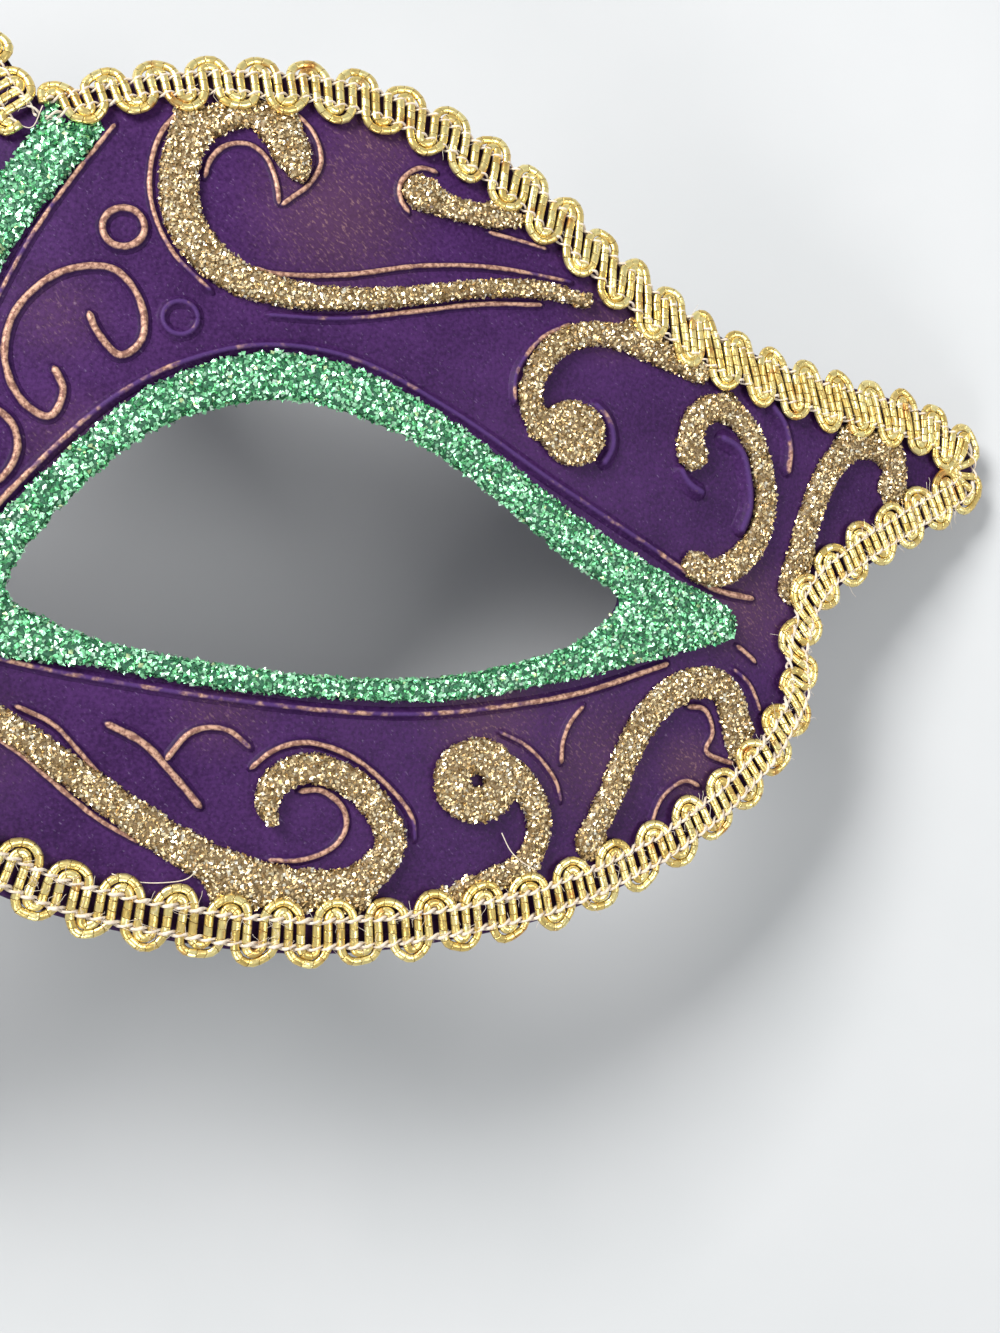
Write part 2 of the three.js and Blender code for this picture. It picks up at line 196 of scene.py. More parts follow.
# %% [markdown]
# ## Table and light
# A plain pale table top and three soft boxes stand in for a studio. The main one is up and to the left,
# as in the photograph, so shadows fall to the lower right. Glitter needs something dark to reflect as
# well as something bright, so the world stays dim and the boxes are small.

# %% Lay the table and hang the lights
TABLE_HALF = 1.2
TABLE_DIM = (0.36, 0.37, 0.37, 1)
TABLE_PALE = (0.42, 0.42, 0.42, 1)
LIGHTS = [
    # name, x, y, z in metres, side of the square, watts
    ("key_light", -0.34, 0.52, 0.62, 0.34, 13),
    ("fill_light", 0.62, 0.05, 0.55, 0.40, 4),
    ("front_light", -0.10, -0.62, 0.50, 0.35, 3),
]
SKY = (0.85, 0.92, 1.0, 1)
WORLD_LIGHT = 0.35


def to_mesh(name, bm):
    mesh = bpy.data.meshes.new(name)
    bm.to_mesh(mesh)
    bm.free()
    return mesh


def lay_table():
    bm = bmesh.new()
    bmesh.ops.create_grid(bm, x_segments=1, y_segments=1, size=TABLE_HALF)
    mesh = to_mesh("table_top", bm)
    table = link(bpy.data.objects.new("table_top", mesh))
    pale, tree, shader = new_material("pale_table", Roughness=0.7)
    grain, cloud = add_grain(tree, "table")
    fill(tree, shader.inputs["Base Color"], mix_colour(tree, cloud, TABLE_DIM, TABLE_PALE))
    add_bump(tree, shader, grain, 0.05, 0.1 * MM)
    mesh.materials.append(pale)


def hang_light(name, x, y, z, side, watts):
    lamp = bpy.data.lights.new(name, "AREA")
    lamp.size = side
    lamp.energy = watts
    holder = link(bpy.data.objects.new(name, lamp))
    holder.location = (x, y, z)
    aim = Vector((CAMERA_AT.x, CAMERA_AT.y, 0)) - holder.location
    holder.rotation_euler = aim.to_track_quat("-Z", "Y").to_euler()


lay_table()
for row in LIGHTS:
    hang_light(*row)
world = bpy.data.worlds.new("studio")
world.use_nodes = True
sky = world.node_tree.nodes["Background"]
sky.inputs["Color"].default_value = SKY
sky.inputs["Strength"].default_value = WORLD_LIGHT
bpy.context.scene.world = world
bpy.context.scene.view_settings.view_transform = "Standard"
print(len(LIGHTS), "lights")

# %% [markdown]
# ## The form of the face
# The front is one smooth height over the table: swept back to the wings, rolled at brow and cheek, and
# raised over the nose. A formula serves every piece alike, because braid, glitter and relief all
# lie on it. The frame's own shell says where the face stands.

# %% Set up the face
FACE_HEIGHT = 45.5
SWEEP_SLOPE = 0.75
SWEEP_ROUND = 57
BROW_START = 10
BROW_ROLL = 0.0045
CHEEK_START = -5
CHEEK_ROLL = 0.002
NOSE_RISE = 8
NOSE_HALF_WIDTH = 13
NOSE_TOP = 30
NOSE_FOOT = -15
LEAN = 0.024
CREST_TOP = 63


def face_height(x, y):
    """Height of the front in millimetres, at places across and up the face."""
    sweep = np.hypot(SWEEP_ROUND, SWEEP_SLOPE * x) - SWEEP_ROUND
    brow = BROW_ROLL * np.maximum(0, y - BROW_START) ** 2
    cheek = CHEEK_ROLL * np.maximum(0, CHEEK_START - y) ** 2
    share = np.clip((NOSE_TOP - y) / (NOSE_TOP - NOSE_FOOT), 0, 1)
    nose = NOSE_RISE * share**2 * (3 - 2 * share) * np.exp(-((x / NOSE_HALF_WIDTH) ** 2))
    return FACE_HEIGHT - sweep - brow - cheek + nose + LEAN * y


def unit(vectors):
    return vectors / np.linalg.norm(vectors, axis=-1, keepdims=True)


def face_normal(x, y):
    step = 0.01
    slope_x = (face_height(x + step, y) - face_height(x - step, y)) / (2 * step)
    slope_y = (face_height(x, y + step) - face_height(x, y - step)) / (2 * step)
    return unit(np.stack([-slope_x, -slope_y, np.ones_like(slope_x)], axis=-1))


shell_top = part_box("mask_shell")[1] / MM
crest_line = np.linspace(NOSE_FOOT, CREST_TOP, 400)
FACE_AT = np.array([0, shell_top.y - CREST_TOP, shell_top.z - face_height(0, crest_line).max()])


def on_face(x, y, lift=0.0):
    """Points of the frame, in millimetres, that stand lift above the front."""
    base = np.stack([x, y, face_height(x, y)], axis=-1)
    return base + face_normal(x, y) * np.asarray(lift)[..., None] + FACE_AT


print("face stands at", FACE_AT.round(2))

# %% [markdown]
# ## Smooth lines
# The mask's outlines are drawn through a few rows of numbers. A Catmull-Rom line passes through every
# row, so a row can be read off the photograph and lands where it was read. Rows are counted along the
# line, and the square roots keep it from swinging out where rows are crowded.

# %% Draw lines through rows
def line_at(rows, at, closed=False):
    """Points of the line through the rows, at row numbers that may fall between rows."""
    points = np.asarray(rows, float)
    count = len(points)
    at = np.asarray(at, float)
    if closed:
        first = np.floor(at).astype(int)
        near = [points[(first + k) % count] for k in (-1, 0, 1, 2)]
    else:
        points = np.vstack([2 * points[0] - points[1], points, 2 * points[-1] - points[-2]])
        first = np.clip(np.floor(at).astype(int), 0, count - 2)
        near = [points[first + 1 + k] for k in (-1, 0, 1, 2)]
    p0, p1, p2, p3 = near
    chords = [np.linalg.norm(b - a, axis=-1, keepdims=True) for a, b in zip(near, near[1:])]
    d0, d1, d2 = np.sqrt(chords)
    leave = ((p1 - p0) / d0 - (p2 - p0) / (d0 + d1) + (p2 - p1) / d1) * d1
    reach = ((p2 - p1) / d1 - (p3 - p1) / (d1 + d2) + (p3 - p2) / d2) * d1
    t = (at - first)[..., None]
    cubic = 2 * (p1 - p2) + leave + reach
    square = 3 * (p2 - p1) - 2 * leave - reach
    return ((cubic * t + square) * t + leave) * t + p1


def smooth_line(rows, per_row=12):
    return line_at(rows, np.linspace(0, len(rows) - 1, per_row * len(rows)))


def run_lengths(points):
    return np.concatenate([[0], np.cumsum(np.linalg.norm(np.diff(points, axis=0), axis=1))])


def even_path(places, step):
    """The same path in even steps on the curved front. Columns after x and y are carried along."""
    run = run_lengths(on_face(places[:, 0], places[:, 1]))
    even = np.linspace(0, run[-1], max(2, round(run[-1] / step)) + 1)
    return np.stack([np.interp(even, run, column) for column in places.T], axis=-1), even


def rails(points, up):
    """Unit vectors to the left of a path's run, for points and upward directions along it."""
    return unit(np.cross(up, np.gradient(points, axis=0)))


print("lines ready")

# %% [markdown]
# ## Bending a grid
# Most pieces here are long and thin: relief lines, cords and threads. Each starts as a flat grid,
# whose columns become rings along a path. The grid's two long sides then meet and are merged, and
# the open ends are filled, so every one of them is a closed body.

# %% Bend grids into closed bars
WELD = 1e-7


def bend_bar(bm, rings, along, material=0, marks=None):
    """A closed bar from rings of points in millimetres. Marks are named values for its vertices."""
    count, sides = rings.shape[:2]
    marks = marks or {}
    uv = bm.loops.layers.uv.verify()
    floats = bm.verts.layers.float
    for name in marks:
        if floats.get(name) is None:
            floats.new(name)
    layers = [(floats[name], values) for name, values in marks.items()]
    made = bmesh.ops.create_grid(bm, x_segments=count - 1, y_segments=sides, size=0.5)["verts"]
    spot = {}
    for vert in made:
        ring = round((vert.co.x + 0.5) * (count - 1))
        side = round((vert.co.y + 0.5) * sides)
        spot[vert] = (ring, side)
    faces = {face for vert in made for face in vert.link_faces}
    for face in faces:
        face.smooth = True
        face.material_index = material
        for loop in face.loops:
            ring, side = spot[loop.vert]
            loop[uv].uv = (along[ring], side / sides)
    for vert, (ring, side) in spot.items():
        vert.co = rings[ring, side % sides] * MM
        for layer, values in layers:
            vert[layer] = values[ring, side % sides]
    bmesh.ops.remove_doubles(bm, verts=made, dist=WELD)
    faces = [face for face in faces if face.is_valid]
    open_edges = {edge for face in faces for edge in face.edges if edge.is_boundary}
    caps = bmesh.ops.holes_fill(bm, edges=list(open_edges), sides=0)["faces"]
    for cap in caps:
        cap.material_index = material
    bmesh.ops.recalc_face_normals(bm, faces=faces + caps)


def place_piece(name, mesh, materials, slot, *nodes):
    """Makes a mesh a piece of the object that stands for some of the frame's nodes."""
    for material in materials:
        mesh.materials.append(material)
    piece = link(bpy.data.objects.new(name, mesh))
    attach(piece, "root")
    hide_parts(*nodes)
    triangles = sum(len(face.vertices) - 2 for face in mesh.polygons)
    print(f"{name}: {triangles} triangles")


print("bars ready")

# %% [markdown]
# ## The moulded wall
# The wall could be cut from a flat sheet, but a face is better modelled as rings round the eye, as
# masks and heads are in film work: the rings follow the form, and both rims come out clean. A flat grid
# is wrapped round the eye hole, stretched to the edge along listed ribs, mirrored, and given
# the thickness of the real wall. The hole is a hair wide, because glitter laps over its rim.

# %% Wrap the wall round the eye
WALL = 2.0
WELD_MIDDLE = 1e-6
RIM_ROUND = 0.45
RIM_STEPS = 3
SHARP_ANGLE = 1
HOLE_EASE = 1.1
AROUND_STEPS = 12
OUT_STEPS = 34

EDGE = [
    # x, y: crest peak, dip, brow, wing tip, waist, cheek and nose arch
    (0, 63), (6, 60.5), (11, 55), (15, 47.4), (17.8, 44.2), (22, 45.4), (28, 47.1), (36, 48.2),
    (44, 48.3), (52, 46.3), (60, 41.7), (75, 30.1), (83, 25.8), (92, 23.2), (101, 21.7), (107, 19.8),
    (110.6, 17.3), (111.4, 14.4), (110.7, 11.4), (106.5, 8.6), (99, 4.2), (93, -0.4), (91.2, -5.2),
    (91.2, -10.2), (87.4, -17), (78.4, -25), (65.7, -30.9), (54, -33.1), (44, -33.7), (34, -32.7),
    (20, -29.1), (12, -24.8), (6, -20), (0, -18),
]
EDGE_LOOP = EDGE + [(-x, y) for x, y in EDGE[-2:0:-1]]
NOSE_ROW = len(EDGE) - 1

RIBS = [
    # x, y on the eye hole, and the row of EDGE that the rib runs to: past NOSE_ROW it climbs the middle
    (16.3, -0.5, 33.4), (18, 3.3, 33.7), (23, 9.2, 34), (28, 13.5, 36.2), (34, 16, 38), (40, 17, 40),
    (46, 15.8, 42), (53, 12.7, 43.7), (60, 7.6, 45), (66, 2.7, 47.5), (69.6, 0.4, 51), (70.2, -0.6, 54),
    (69, -2.5, 56), (65.5, -4.9, 57.8), (60.5, -6.6, 59.2), (53, -8, 60.8), (45, -8, 62), (34, -6.7, 63.4),
    (24, -4.7, 65), (18.3, -2.1, 67),
]
HOLE = [(x, y) for x, y, _ in RIBS]


def outline_at(row):
    """Points of the right half's outline: along the edge, then up the middle from nose to crest."""
    turn = row % (NOSE_ROW + 1)
    on_edge = line_at(EDGE_LOOP, np.minimum(turn, NOSE_ROW), closed=True)
    climb = np.clip(turn - NOSE_ROW, 0, 1)[:, None]
    middle = np.array([0.0, EDGE[-1][1]]) * (1 - climb) + np.array([0.0, EDGE[0][1]]) * climb
    return np.where(climb > 0, middle, on_edge)


def ease_rims(bm, offset):
    """Rounds every sharp edge of a bmesh."""
    rims = [edge for edge in bm.edges if edge.is_manifold and edge.calc_face_angle() > SHARP_ANGLE]
    bmesh.ops.bevel(
        bm, geom=rims, offset=offset * MM, offset_type="OFFSET", affect="EDGES",
        segments=RIM_STEPS, profile=0.5, material=-1,
    )


def wrap_wall():
    bm = bmesh.new()
    around = len(RIBS) * AROUND_STEPS
    made = bmesh.ops.create_grid(bm, x_segments=around, y_segments=OUT_STEPS, size=0.5)["verts"]
    spot = np.array([vert.co for vert in made])[:, :2] + 0.5
    rib = spot[:, 0] * len(RIBS)
    runs_to = [row for _, _, row in RIBS] + [RIBS[0][2] + NOSE_ROW + 1]
    hole = line_at(HOLE, rib, closed=True)
    outer = outline_at(np.interp(rib, range(len(runs_to)), runs_to))
    hole = hole + unit(outer - hole) * HOLE_EASE
    places = hole + (outer - hole) * spot[:, 1:]
    for vert, point in zip(made, on_face(*places.T)):
        vert.co = point * MM
    bmesh.ops.remove_doubles(bm, verts=bm.verts, dist=WELD)
    whole = bm.verts[:] + bm.edges[:] + bm.faces[:]
    bmesh.ops.mirror(bm, geom=whole, axis="X", merge_dist=WELD_MIDDLE)
    bmesh.ops.recalc_face_normals(bm, faces=bm.faces)
    if sum(face.normal.z for face in bm.faces) < 0:
        bmesh.ops.reverse_faces(bm, faces=bm.faces)
    bmesh.ops.solidify(bm, geom=bm.faces, thickness=WALL * MM)
    ease_rims(bm, RIM_ROUND)
    for face in bm.faces:
        face.smooth = True
    return bm


wall = wrap_wall()
heights = [vert.co.z / MM for vert in wall.verts]
print(f"wall: {len(wall.faces)} faces, from {min(heights):.1f} to {max(heights):.1f} mm")

# %% [markdown]
# ## Raised lines
# The mould has fine ridges: horns by the nose, stems on the cheek, lids along the eyes, and a lip
# beside most of the scrolls. Rows of places, drawn on one half, serve both. Copper wax was wiped
# over them unevenly, so each line also says how much of it stays where.

# %% Draw the raised lines
RIDGE_HALF = 0.80
RIDGE_HEIGHT = 0.50
RIDGE_SINK = 0.6
RIDGE_STEP = 0.32
RIDGE_FADE = 0.9
TIP_WIDTH = 0.4
TIP_RISE = 0.2
FOOT_SINK = 0.03
RING_STEPS = 48
BELL = [(-1, 0), (-0.66, 0.12), (-0.40, 0.55), (-0.17, 0.93), (0, 1)]
BELL += [(-across, high) for across, high in BELL[-2::-1]]

RIDGES = {
    # name: share of full size, copper shares spaced along the line, then x, y rows
    "upper_lid": (0.95, (0.8, 0.8, 0.4, 0.3, 0.3, 0.2, 0.3, 0.2, 0.1, 0.3, 0.9, 0.8), [
        (12.5, 3.6), (15.8, 7.4), (19.8, 11.8), (24.8, 16.5), (30.7, 20), (37.5, 21.9), (45.3, 21.2),
        (54.3, 16.9), (63.8, 10.8), (73.8, 4.7), (80.1, 0.9), (85, -0.2),
    ]),
    "lower_lid": (0.9, (0.5, 0.45, 0.2, 0.3, 0.5, 0.35, 0.5, 0.9, 0.8), [
        (13.2, -5.6), (19.7, -7.3), (30.5, -9.3), (37.3, -10.3), (44.3, -11.1), (51.5, -11.4),
        (59, -10.8), (66.8, -9.5), (75.9, -6.6),
    ]),
    "lid_tail": (0.8, (0.9, 0.8), [(82.6, -4.7), (83.7, -5.5), (85.2, -6.8)]),
    "horns": (1, (0.9,), [
        (19.8, 19.5), (20.8, 17.1), (19.7, 14.8), (17.4, 16.1), (15.9, 20), (16.8, 24.2), (20.5, 27.7),
        (24.8, 28.1), (27.1, 25.3), (27.3, 21.9), (25.5, 20.4), (23.5, 22.5), (22.7, 24.5),
    ]),
    "bridge_curl": (1, (0.9,), [
        (10.9, 14.8), (13.6, 15.9), (16.4, 14.4), (17.1, 12), (15.8, 9.3), (13.2, 8.3),
    ]),
    "cheek_stem": (1, (0.9,), [(23.9, -11.8), (27.4, -13.8), (29.9, -16.7), (32.4, -19.9)]),
    "cheek_leaf": (0.85, (0.9, 0.9, 0.7, 0.4), [(29, -15.6), (31.5, -12.8), (34.3, -12.6), (36.8, -14.6)]),
    "cheek_tick": (0.8, (0.5, 0.8), [(67.3, -10.5), (65.8, -12.2), (65, -14.1), (64.8, -16.7)]),
    "hook_tick": (0.8, (0.6,), [(73.8, -22.9), (74.8, -20.3), (76.2, -18.9), (77.6, -18.4), (79.2, -19.2)]),
    "scroll_head_lip": (0.75, (0.9, 0.9, 0.8, 0.5), [
        (38.8, 34.9), (39.9, 35.9), (41.3, 37.2), (42.4, 39.6), (41.7, 42.3), (39.9, 44.4),
    ]),
    "scroll_curl_lip": (0.75, (0.9,), [
        (38.8, 34.9), (38.5, 37.2), (37.5, 39.6), (36, 40.7), (34, 40.4), (32.7, 38.9), (32.2, 36.8),
    ]),
    "scroll_back_lip": (0.75, (0.9, 0.9, 0.8, 0.3), [
        (30.2, 43.9), (28.4, 41.2), (27.6, 38), (27.9, 34), (29.8, 29.9), (33.4, 26.3),
    ]),
    "scroll_upper_lip": (0.75, (0.6, 0.95, 0.95, 0.8, 0.3), [
        (36.4, 29.1), (38.3, 28.6), (44.4, 28.9), (51.6, 30.4), (58.1, 30.9), (66.2, 30.2),
    ]),
    "scroll_lower_lip": (0.75, (0.1, 0.3, 0.9, 0.9, 0.6), [
        (37.6, 24.7), (44.4, 24.8), (51.6, 26.1), (57.1, 27.2), (63.3, 27.7),
    ]),
    "tail_tick": (0.6, (0.7,), [(68.5, 28.8), (70.5, 28.4)]),
    "comma_lip": (0.8, (0.9,), [(53.3, 39.7), (51.3, 40), (49.7, 38.5), (49.6, 36.8), (50.6, 35.2)]),
    "comma_foot": (0.7, (0.7,), [(57.5, 34.4), (60.4, 33.9), (63.8, 33.2)]),
    "hook_head_lip": (1.3, (0.1,), [(67.7, 18.7), (69.4, 16.9), (69.8, 14.5), (68.6, 12.2)]),
    "hook_back_lip": (0.8, (0.6, 0.3), [(66, 26.2), (62.9, 24.4), (60.5, 20.9), (60.3, 17.6)]),
    "temple_curl": (1.4, (0.1,), [(76.5, 13), (77.6, 11.2), (79.5, 10.1)]),
    "temple_inner": (1.5, (0.1,), [(80.6, 16.2), (83, 14.9), (83.9, 12.2), (84, 8.9), (82.9, 6.2)]),
    "temple_outer": (1.3, (0.1, 0.5), [(86.3, 20), (87.9, 18), (88.6, 15.4), (88.3, 12.4)]),
    "spiral_upper_lip": (0.75, (0.8,), [(16.6, -10.2), (19.9, -12), (21.6, -13.9), (24.2, -17.2)]),
    "spiral_lower_lip": (0.7, (0.6, 0.9, 0.8), [
        (12.8, -11.2), (17.2, -14.5), (20, -17.2), (23.6, -20.5), (27.2, -22.8),
    ]),
    "spiral_outer_lip": (0.8, (0.9, 0.9, 0.7, 0.3), [
        (36.2, -16.4), (38.6, -14.5), (41.4, -13.9), (45.2, -15.2), (48.4, -17.9), (50.7, -21), (51, -23.6),
    ]),
    "spiral_inner_lip": (0.8, (0.9, 0.9, 0.9, 0.5), [
        (40.3, -18.4), (42.5, -18.3), (44.4, -19.8), (44.8, -21.6), (43.8, -23.4), (41, -24.6),
        (37.5, -24.5),
    ]),
    "nine_lip": (0.7, (0.5,), [(58.5, -13), (61.6, -14.7), (64.2, -17.9), (64.9, -20.4)]),
    "hook_inner_lip": (0.8, (0.9,), [
        (77.3, -11), (79.4, -11.3), (80.3, -13.6), (79.6, -15.5), (81.2, -16.4), (82.9, -16.9),
    ]),
    "hook_outer_lip": (0.8, (0.5,), [(82.2, -7), (84.3, -8.9), (85.6, -11.9)]),
    "band_lip": (0.75, (0.6, 0.7, 0.4, 0.5, 0.3), [
        (24.6, 42), (21.4, 37), (17.9, 31), (15.3, 25.4), (12.6, 18.4),
    ]),
}
RINGS = [
    # x, y, radius, share of full size, copper share
    (25.5, 32, 1.8, 1, 0.9),
    (30.5, 24, 1.5, 0.9, 0.3),
    (25.5, 32, 0.12, 0.5, 0),
    (30.5, 24, 0.12, 0.55, 0),
]
print(len(RIDGES), "lines and", len(RINGS), "rings on each half")

# %% [markdown]
# ## Ridges on the wall
# On the real mask the ridges are one with the wall. Here each is a bar with a bell-shaped top sunk into
# the wall, which meets it without a crease. Two attributes, for the paint to read, keep how near a point
# is to the crest and its share of copper.

# %% Lay the raised lines
def ridge(bm, places, size, fade_ends=True):
    """A raised line along places with columns x, y and copper share."""
    path, run = even_path(places, RIDGE_STEP)
    x, y, copper = path.T
    fade = np.ones_like(run)
    if fade_ends:
        fade = np.clip(np.minimum(run, run[-1] - run) / RIDGE_FADE + TIP_RISE, 0, 1)
        fade = fade * fade * (3 - 2 * fade)
    up = face_normal(x, y)
    base = on_face(x, y)
    side = rails(base, up)
    tall = RIDGE_HEIGHT * size
    section = np.array(BELL + [(1, -RIDGE_SINK / tall), (-1, -RIDGE_SINK / tall)])
    across = section[:, 0] * RIDGE_HALF * size
    width = (TIP_WIDTH + (1 - TIP_WIDTH) * fade)[:, None] * across
    rise = section[:, 1] * tall
    rise = np.where(rise > 0, rise * fade[:, None], rise - FOOT_SINK)
    rings = base[:, None] + side[:, None] * width[..., None] + up[:, None] * rise[..., None]
    crest = np.clip(section[:, 1], 0, 1) * fade[:, None]
    marks = {"crest": crest, "copper": np.broadcast_to(copper[:, None], crest.shape)}
    bend_bar(bm, rings, run, marks=marks)


def with_copper(places, shares):
    at = np.linspace(0, len(shares) - 1, len(places))
    return np.column_stack([places, np.interp(at, range(len(shares)), shares)])


def lay_ridges(bm):
    for size, shares, rows in RIDGES.values():
        places = with_copper(smooth_line(rows), shares)
        ridge(bm, places, size)
        ridge(bm, places * (-1, 1, 1), size)
    turn = np.linspace(0, 2 * np.pi, RING_STEPS + 1)
    for x, y, radius, size, copper in RINGS:
        places = np.stack([x + radius * np.cos(turn), y + radius * np.sin(turn)], axis=-1)
        places = with_copper(places, (copper,))
        ridge(bm, places, size, fade_ends=False)
        ridge(bm, places * (-1, 1, 1), size, fade_ends=False)


lay_ridges(wall)
print(f"wall with {2 * (len(RIDGES) + len(RINGS))} ridges: {len(wall.faces)} faces")

# %% [markdown]
# ## Purple paint
# The paint is matt, over a wall with a fine leathery grain, and copper wax was wiped over it: it
# stays on the crests and leaves dusty patches beside them. Shade is painted dark on the ridges' flanks,
# and a highlight is painted light along their crests.
# Mixing by attribute, noise and place keeps all of that in one material.

# %% Mix the paint
PURPLE_DARK = (0.019, 0.004, 0.034, 1)
PURPLE_LIGHT = (0.048, 0.014, 0.078, 1)
PURPLE_FOOT_SHADE = (0.010, 0.002, 0.022, 1)
PURPLE_CREST_HIGHLIGHT = (0.066, 0.030, 0.125, 1)
COPPER_DIM = (0.20, 0.10, 0.075, 1)
COPPER_PALE = (0.46, 0.27, 0.19, 1)
DUST = (0.22, 0.12, 0.11, 1)
DUST_SOFT = (0.066, 0.029, 0.053, 1)
SCRATCH_PALE = (0.24, 0.18, 0.30, 1)
SCRATCH_SHARE = 0.34
FOOT_SHADE_SHARE = 0.7
CREST_HIGHLIGHT_SHARE = 0.6
WAX_METAL = 0.3
WAX_WEAR = 1.3
WEAR_SCALE = 700
WAX_SCALE = 2600
STROKE_TURN = (0, 0, -0.8)
STROKE_SIZE = (0.45 * MM, 0.20 * MM, 0.45 * MM)
RUBS = [
    # x, y on the face, reach in millimetres, share
    (44, 35, 11, 0.6), (47, 42, 7, 0.5), (58, -11.5, 8, 0.5), (68, -16, 9, 0.35), (84, -1, 8, 0.5),
    (34, -11, 6, 0.3), (70, 27, 6, 0.35), (22, 12, 7, 0.3), (12, -14, 9, 0.2), (20, 24, 6, 0.25),
    (78, -17, 5, 0.6),
]


def rub_mask(tree, place):
    """Soft round patches where the wax was wiped, the same on both halves."""
    split = add_node(tree, "ShaderNodeSeparateXYZ", {0: place})
    aside = math_node(tree, "ABSOLUTE", split.outputs[0])
    flat = add_node(tree, "ShaderNodeCombineXYZ", {0: aside, 1: split.outputs[1]}).outputs[0]
    total = None
    for x, y, reach, share in RUBS:
        middle = (x * MM, (y + FACE_AT[1]) * MM, 0)
        away = add_node(tree, "ShaderNodeVectorMath", {0: flat, 1: middle}, operation="DISTANCE")
        near = step_between(tree, away.outputs["Value"], reach * MM, 0)
        patch = math_node(tree, "MULTIPLY", near, share)
        total = patch if total is None else math_node(tree, "MAXIMUM", total, patch)
    return total


def wax_amount(tree, place):
    """Copper on the crests: whole where its share is high, broken up where it is low."""
    crest = attribute(tree, "crest")
    wear = math_node(tree, "SUBTRACT", add_noise(tree, place, WEAR_SCALE, 2), 0.5)
    kept = math_node(tree, "MULTIPLY_ADD", wear, WAX_WEAR, attribute(tree, "copper"))
    low = math_node(tree, "MULTIPLY_ADD", kept, -0.35, 0.90)
    on_top = step_between(tree, math_node(tree, "SUBTRACT", crest, low), -0.12, 0.22)
    return math_node(tree, "MULTIPLY", on_top, step_between(tree, kept, 0.25, 0.6))


def mix_paint():
    paint, tree, shader = new_material("purple_paint", Specular_IOR_Level=0.1)
    place = tree.nodes.new("ShaderNodeTexCoord").outputs["Object"]
    grain, cloud = add_grain(tree, "paint")
    blotch = math_node(tree, "MULTIPLY_ADD", cloud, 0.4, math_node(tree, "MULTIPLY", grain, 0.6))
    colour = mix_colour(tree, step_between(tree, blotch, 0.29, 0.71), PURPLE_DARK, PURPLE_LIGHT)
    brushed = {"Vector": place, "Rotation": STROKE_TURN, "Scale": STROKE_SIZE}
    brushed = add_node(tree, "ShaderNodeMapping", brushed, vector_type="TEXTURE").outputs[0]
    strokes = add_noise(tree, brushed, 1.0, 3)
    scratch = math_node(tree, "MULTIPLY", step_between(tree, strokes, 0.62, 0.80), SCRATCH_SHARE)
    colour = mix_colour(tree, scratch, colour, SCRATCH_PALE)
    rubbed = rub_mask(tree, place)
    colour = mix_colour(tree, rubbed, colour, DUST_SOFT)
    dusty = math_node(tree, "MULTIPLY", step_between(tree, strokes, 0.52, 0.74), rubbed)
    colour = mix_colour(tree, dusty, colour, DUST)
    crest = attribute(tree, "crest")
    # Painted shade: the flanks of each ridge are darkened, more where the ridge carries more copper.
    foot = math_node(tree, "MULTIPLY", crest, math_node(tree, "SUBTRACT", 1.0, crest))
    foot = math_node(tree, "MULTIPLY", step_between(tree, foot, 0.0, 0.2), attribute(tree, "copper"))
    colour = mix_colour(tree, math_node(tree, "MULTIPLY", foot, FOOT_SHADE_SHARE), colour, PURPLE_FOOT_SHADE)
    # Painted highlight: the crest of every ridge is mixed towards a lighter purple.
    wear_and_highlight = math_node(tree, "MULTIPLY", step_between(tree, crest, 0.6, 1.0), CREST_HIGHLIGHT_SHARE)
    colour = mix_colour(tree, wear_and_highlight, colour, PURPLE_CREST_HIGHLIGHT)
    waxed = wax_amount(tree, place)
    wax_grain = add_noise(tree, place, WAX_SCALE, 2)
    wax = mix_colour(tree, step_between(tree, wax_grain, 0.38, 0.60), COPPER_DIM, COPPER_PALE)
    fill(tree, shader.inputs["Base Color"], mix_colour(tree, waxed, colour, wax))
    fill(tree, shader.inputs["Metallic"], math_node(tree, "MULTIPLY", waxed, WAX_METAL))
    fill(tree, shader.inputs["Roughness"], math_node(tree, "MULTIPLY_ADD", grain, 0.3, 0.38))
    add_bump(tree, shader, grain, 0.3, 0.12 * MM)
    return paint


PAINT = mix_paint()
place_piece("mask_wall", to_mesh("mask_wall", wall), [PAINT], "purple_shell", "mask_shell")

# %% [markdown]
# ## Where the braid runs
# The braid's middle line keeps a little way in from the edge, and further out along the brow, where it
# rolls over the rim. The glitter needs this line before the braid is laid, because scrolls and band
# run on under the loops. One table follows the edge and says how the braid lies at each place.

# %% Draw the braid's lines
BRAID_ROWS = np.array([
    # row of EDGE, inset from the edge, pitch of the loops, lean of the legs, share of full width
    (0, 2.2, 4.65, 0, 0.95), (3.6, 2.2, 4.65, 0, 0.9), (4.4, 1.5, 4.65, 0, 0.76), (6.5, 1.7, 4.65, 0, 0.84),
    (8, 2.1, 4.65, -0.1, 0.98), (10, 2.2, 4.65, -0.35, 1.05), (11.5, 2.3, 4.6, -0.65, 1.15),
    (13, 2.3, 4.4, -0.45, 1.15), (15, 2.2, 4.3, -0.3, 1.05), (16.5, 2.2, 4.3, -0.15, 0.95),
    (18.5, 2.2, 4.4, 0, 0.95), (20.5, 2.2, 4.6, 0, 0.95), (21.5, 2.2, 4.65, 0.5, 0.9),
    (22.5, 2.2, 4.65, 0.8, 0.9), (23.3, 2.2, 4.65, 0.5, 0.9), (24.2, 2.2, 4.7, 0.1, 0.95),
    (26, 2.2, 4.9, 0, 1), (30, 2.2, 4.95, -0.12, 1), (33, 2.2, 4.9, 0, 1),
])
BRAID_SAMPLES = 900
CREST_END_ROW = 3.6
CREST_TAIL = 3.2
SIDE_START_ROW = 4.12
NOSE_JOINT = 0.25


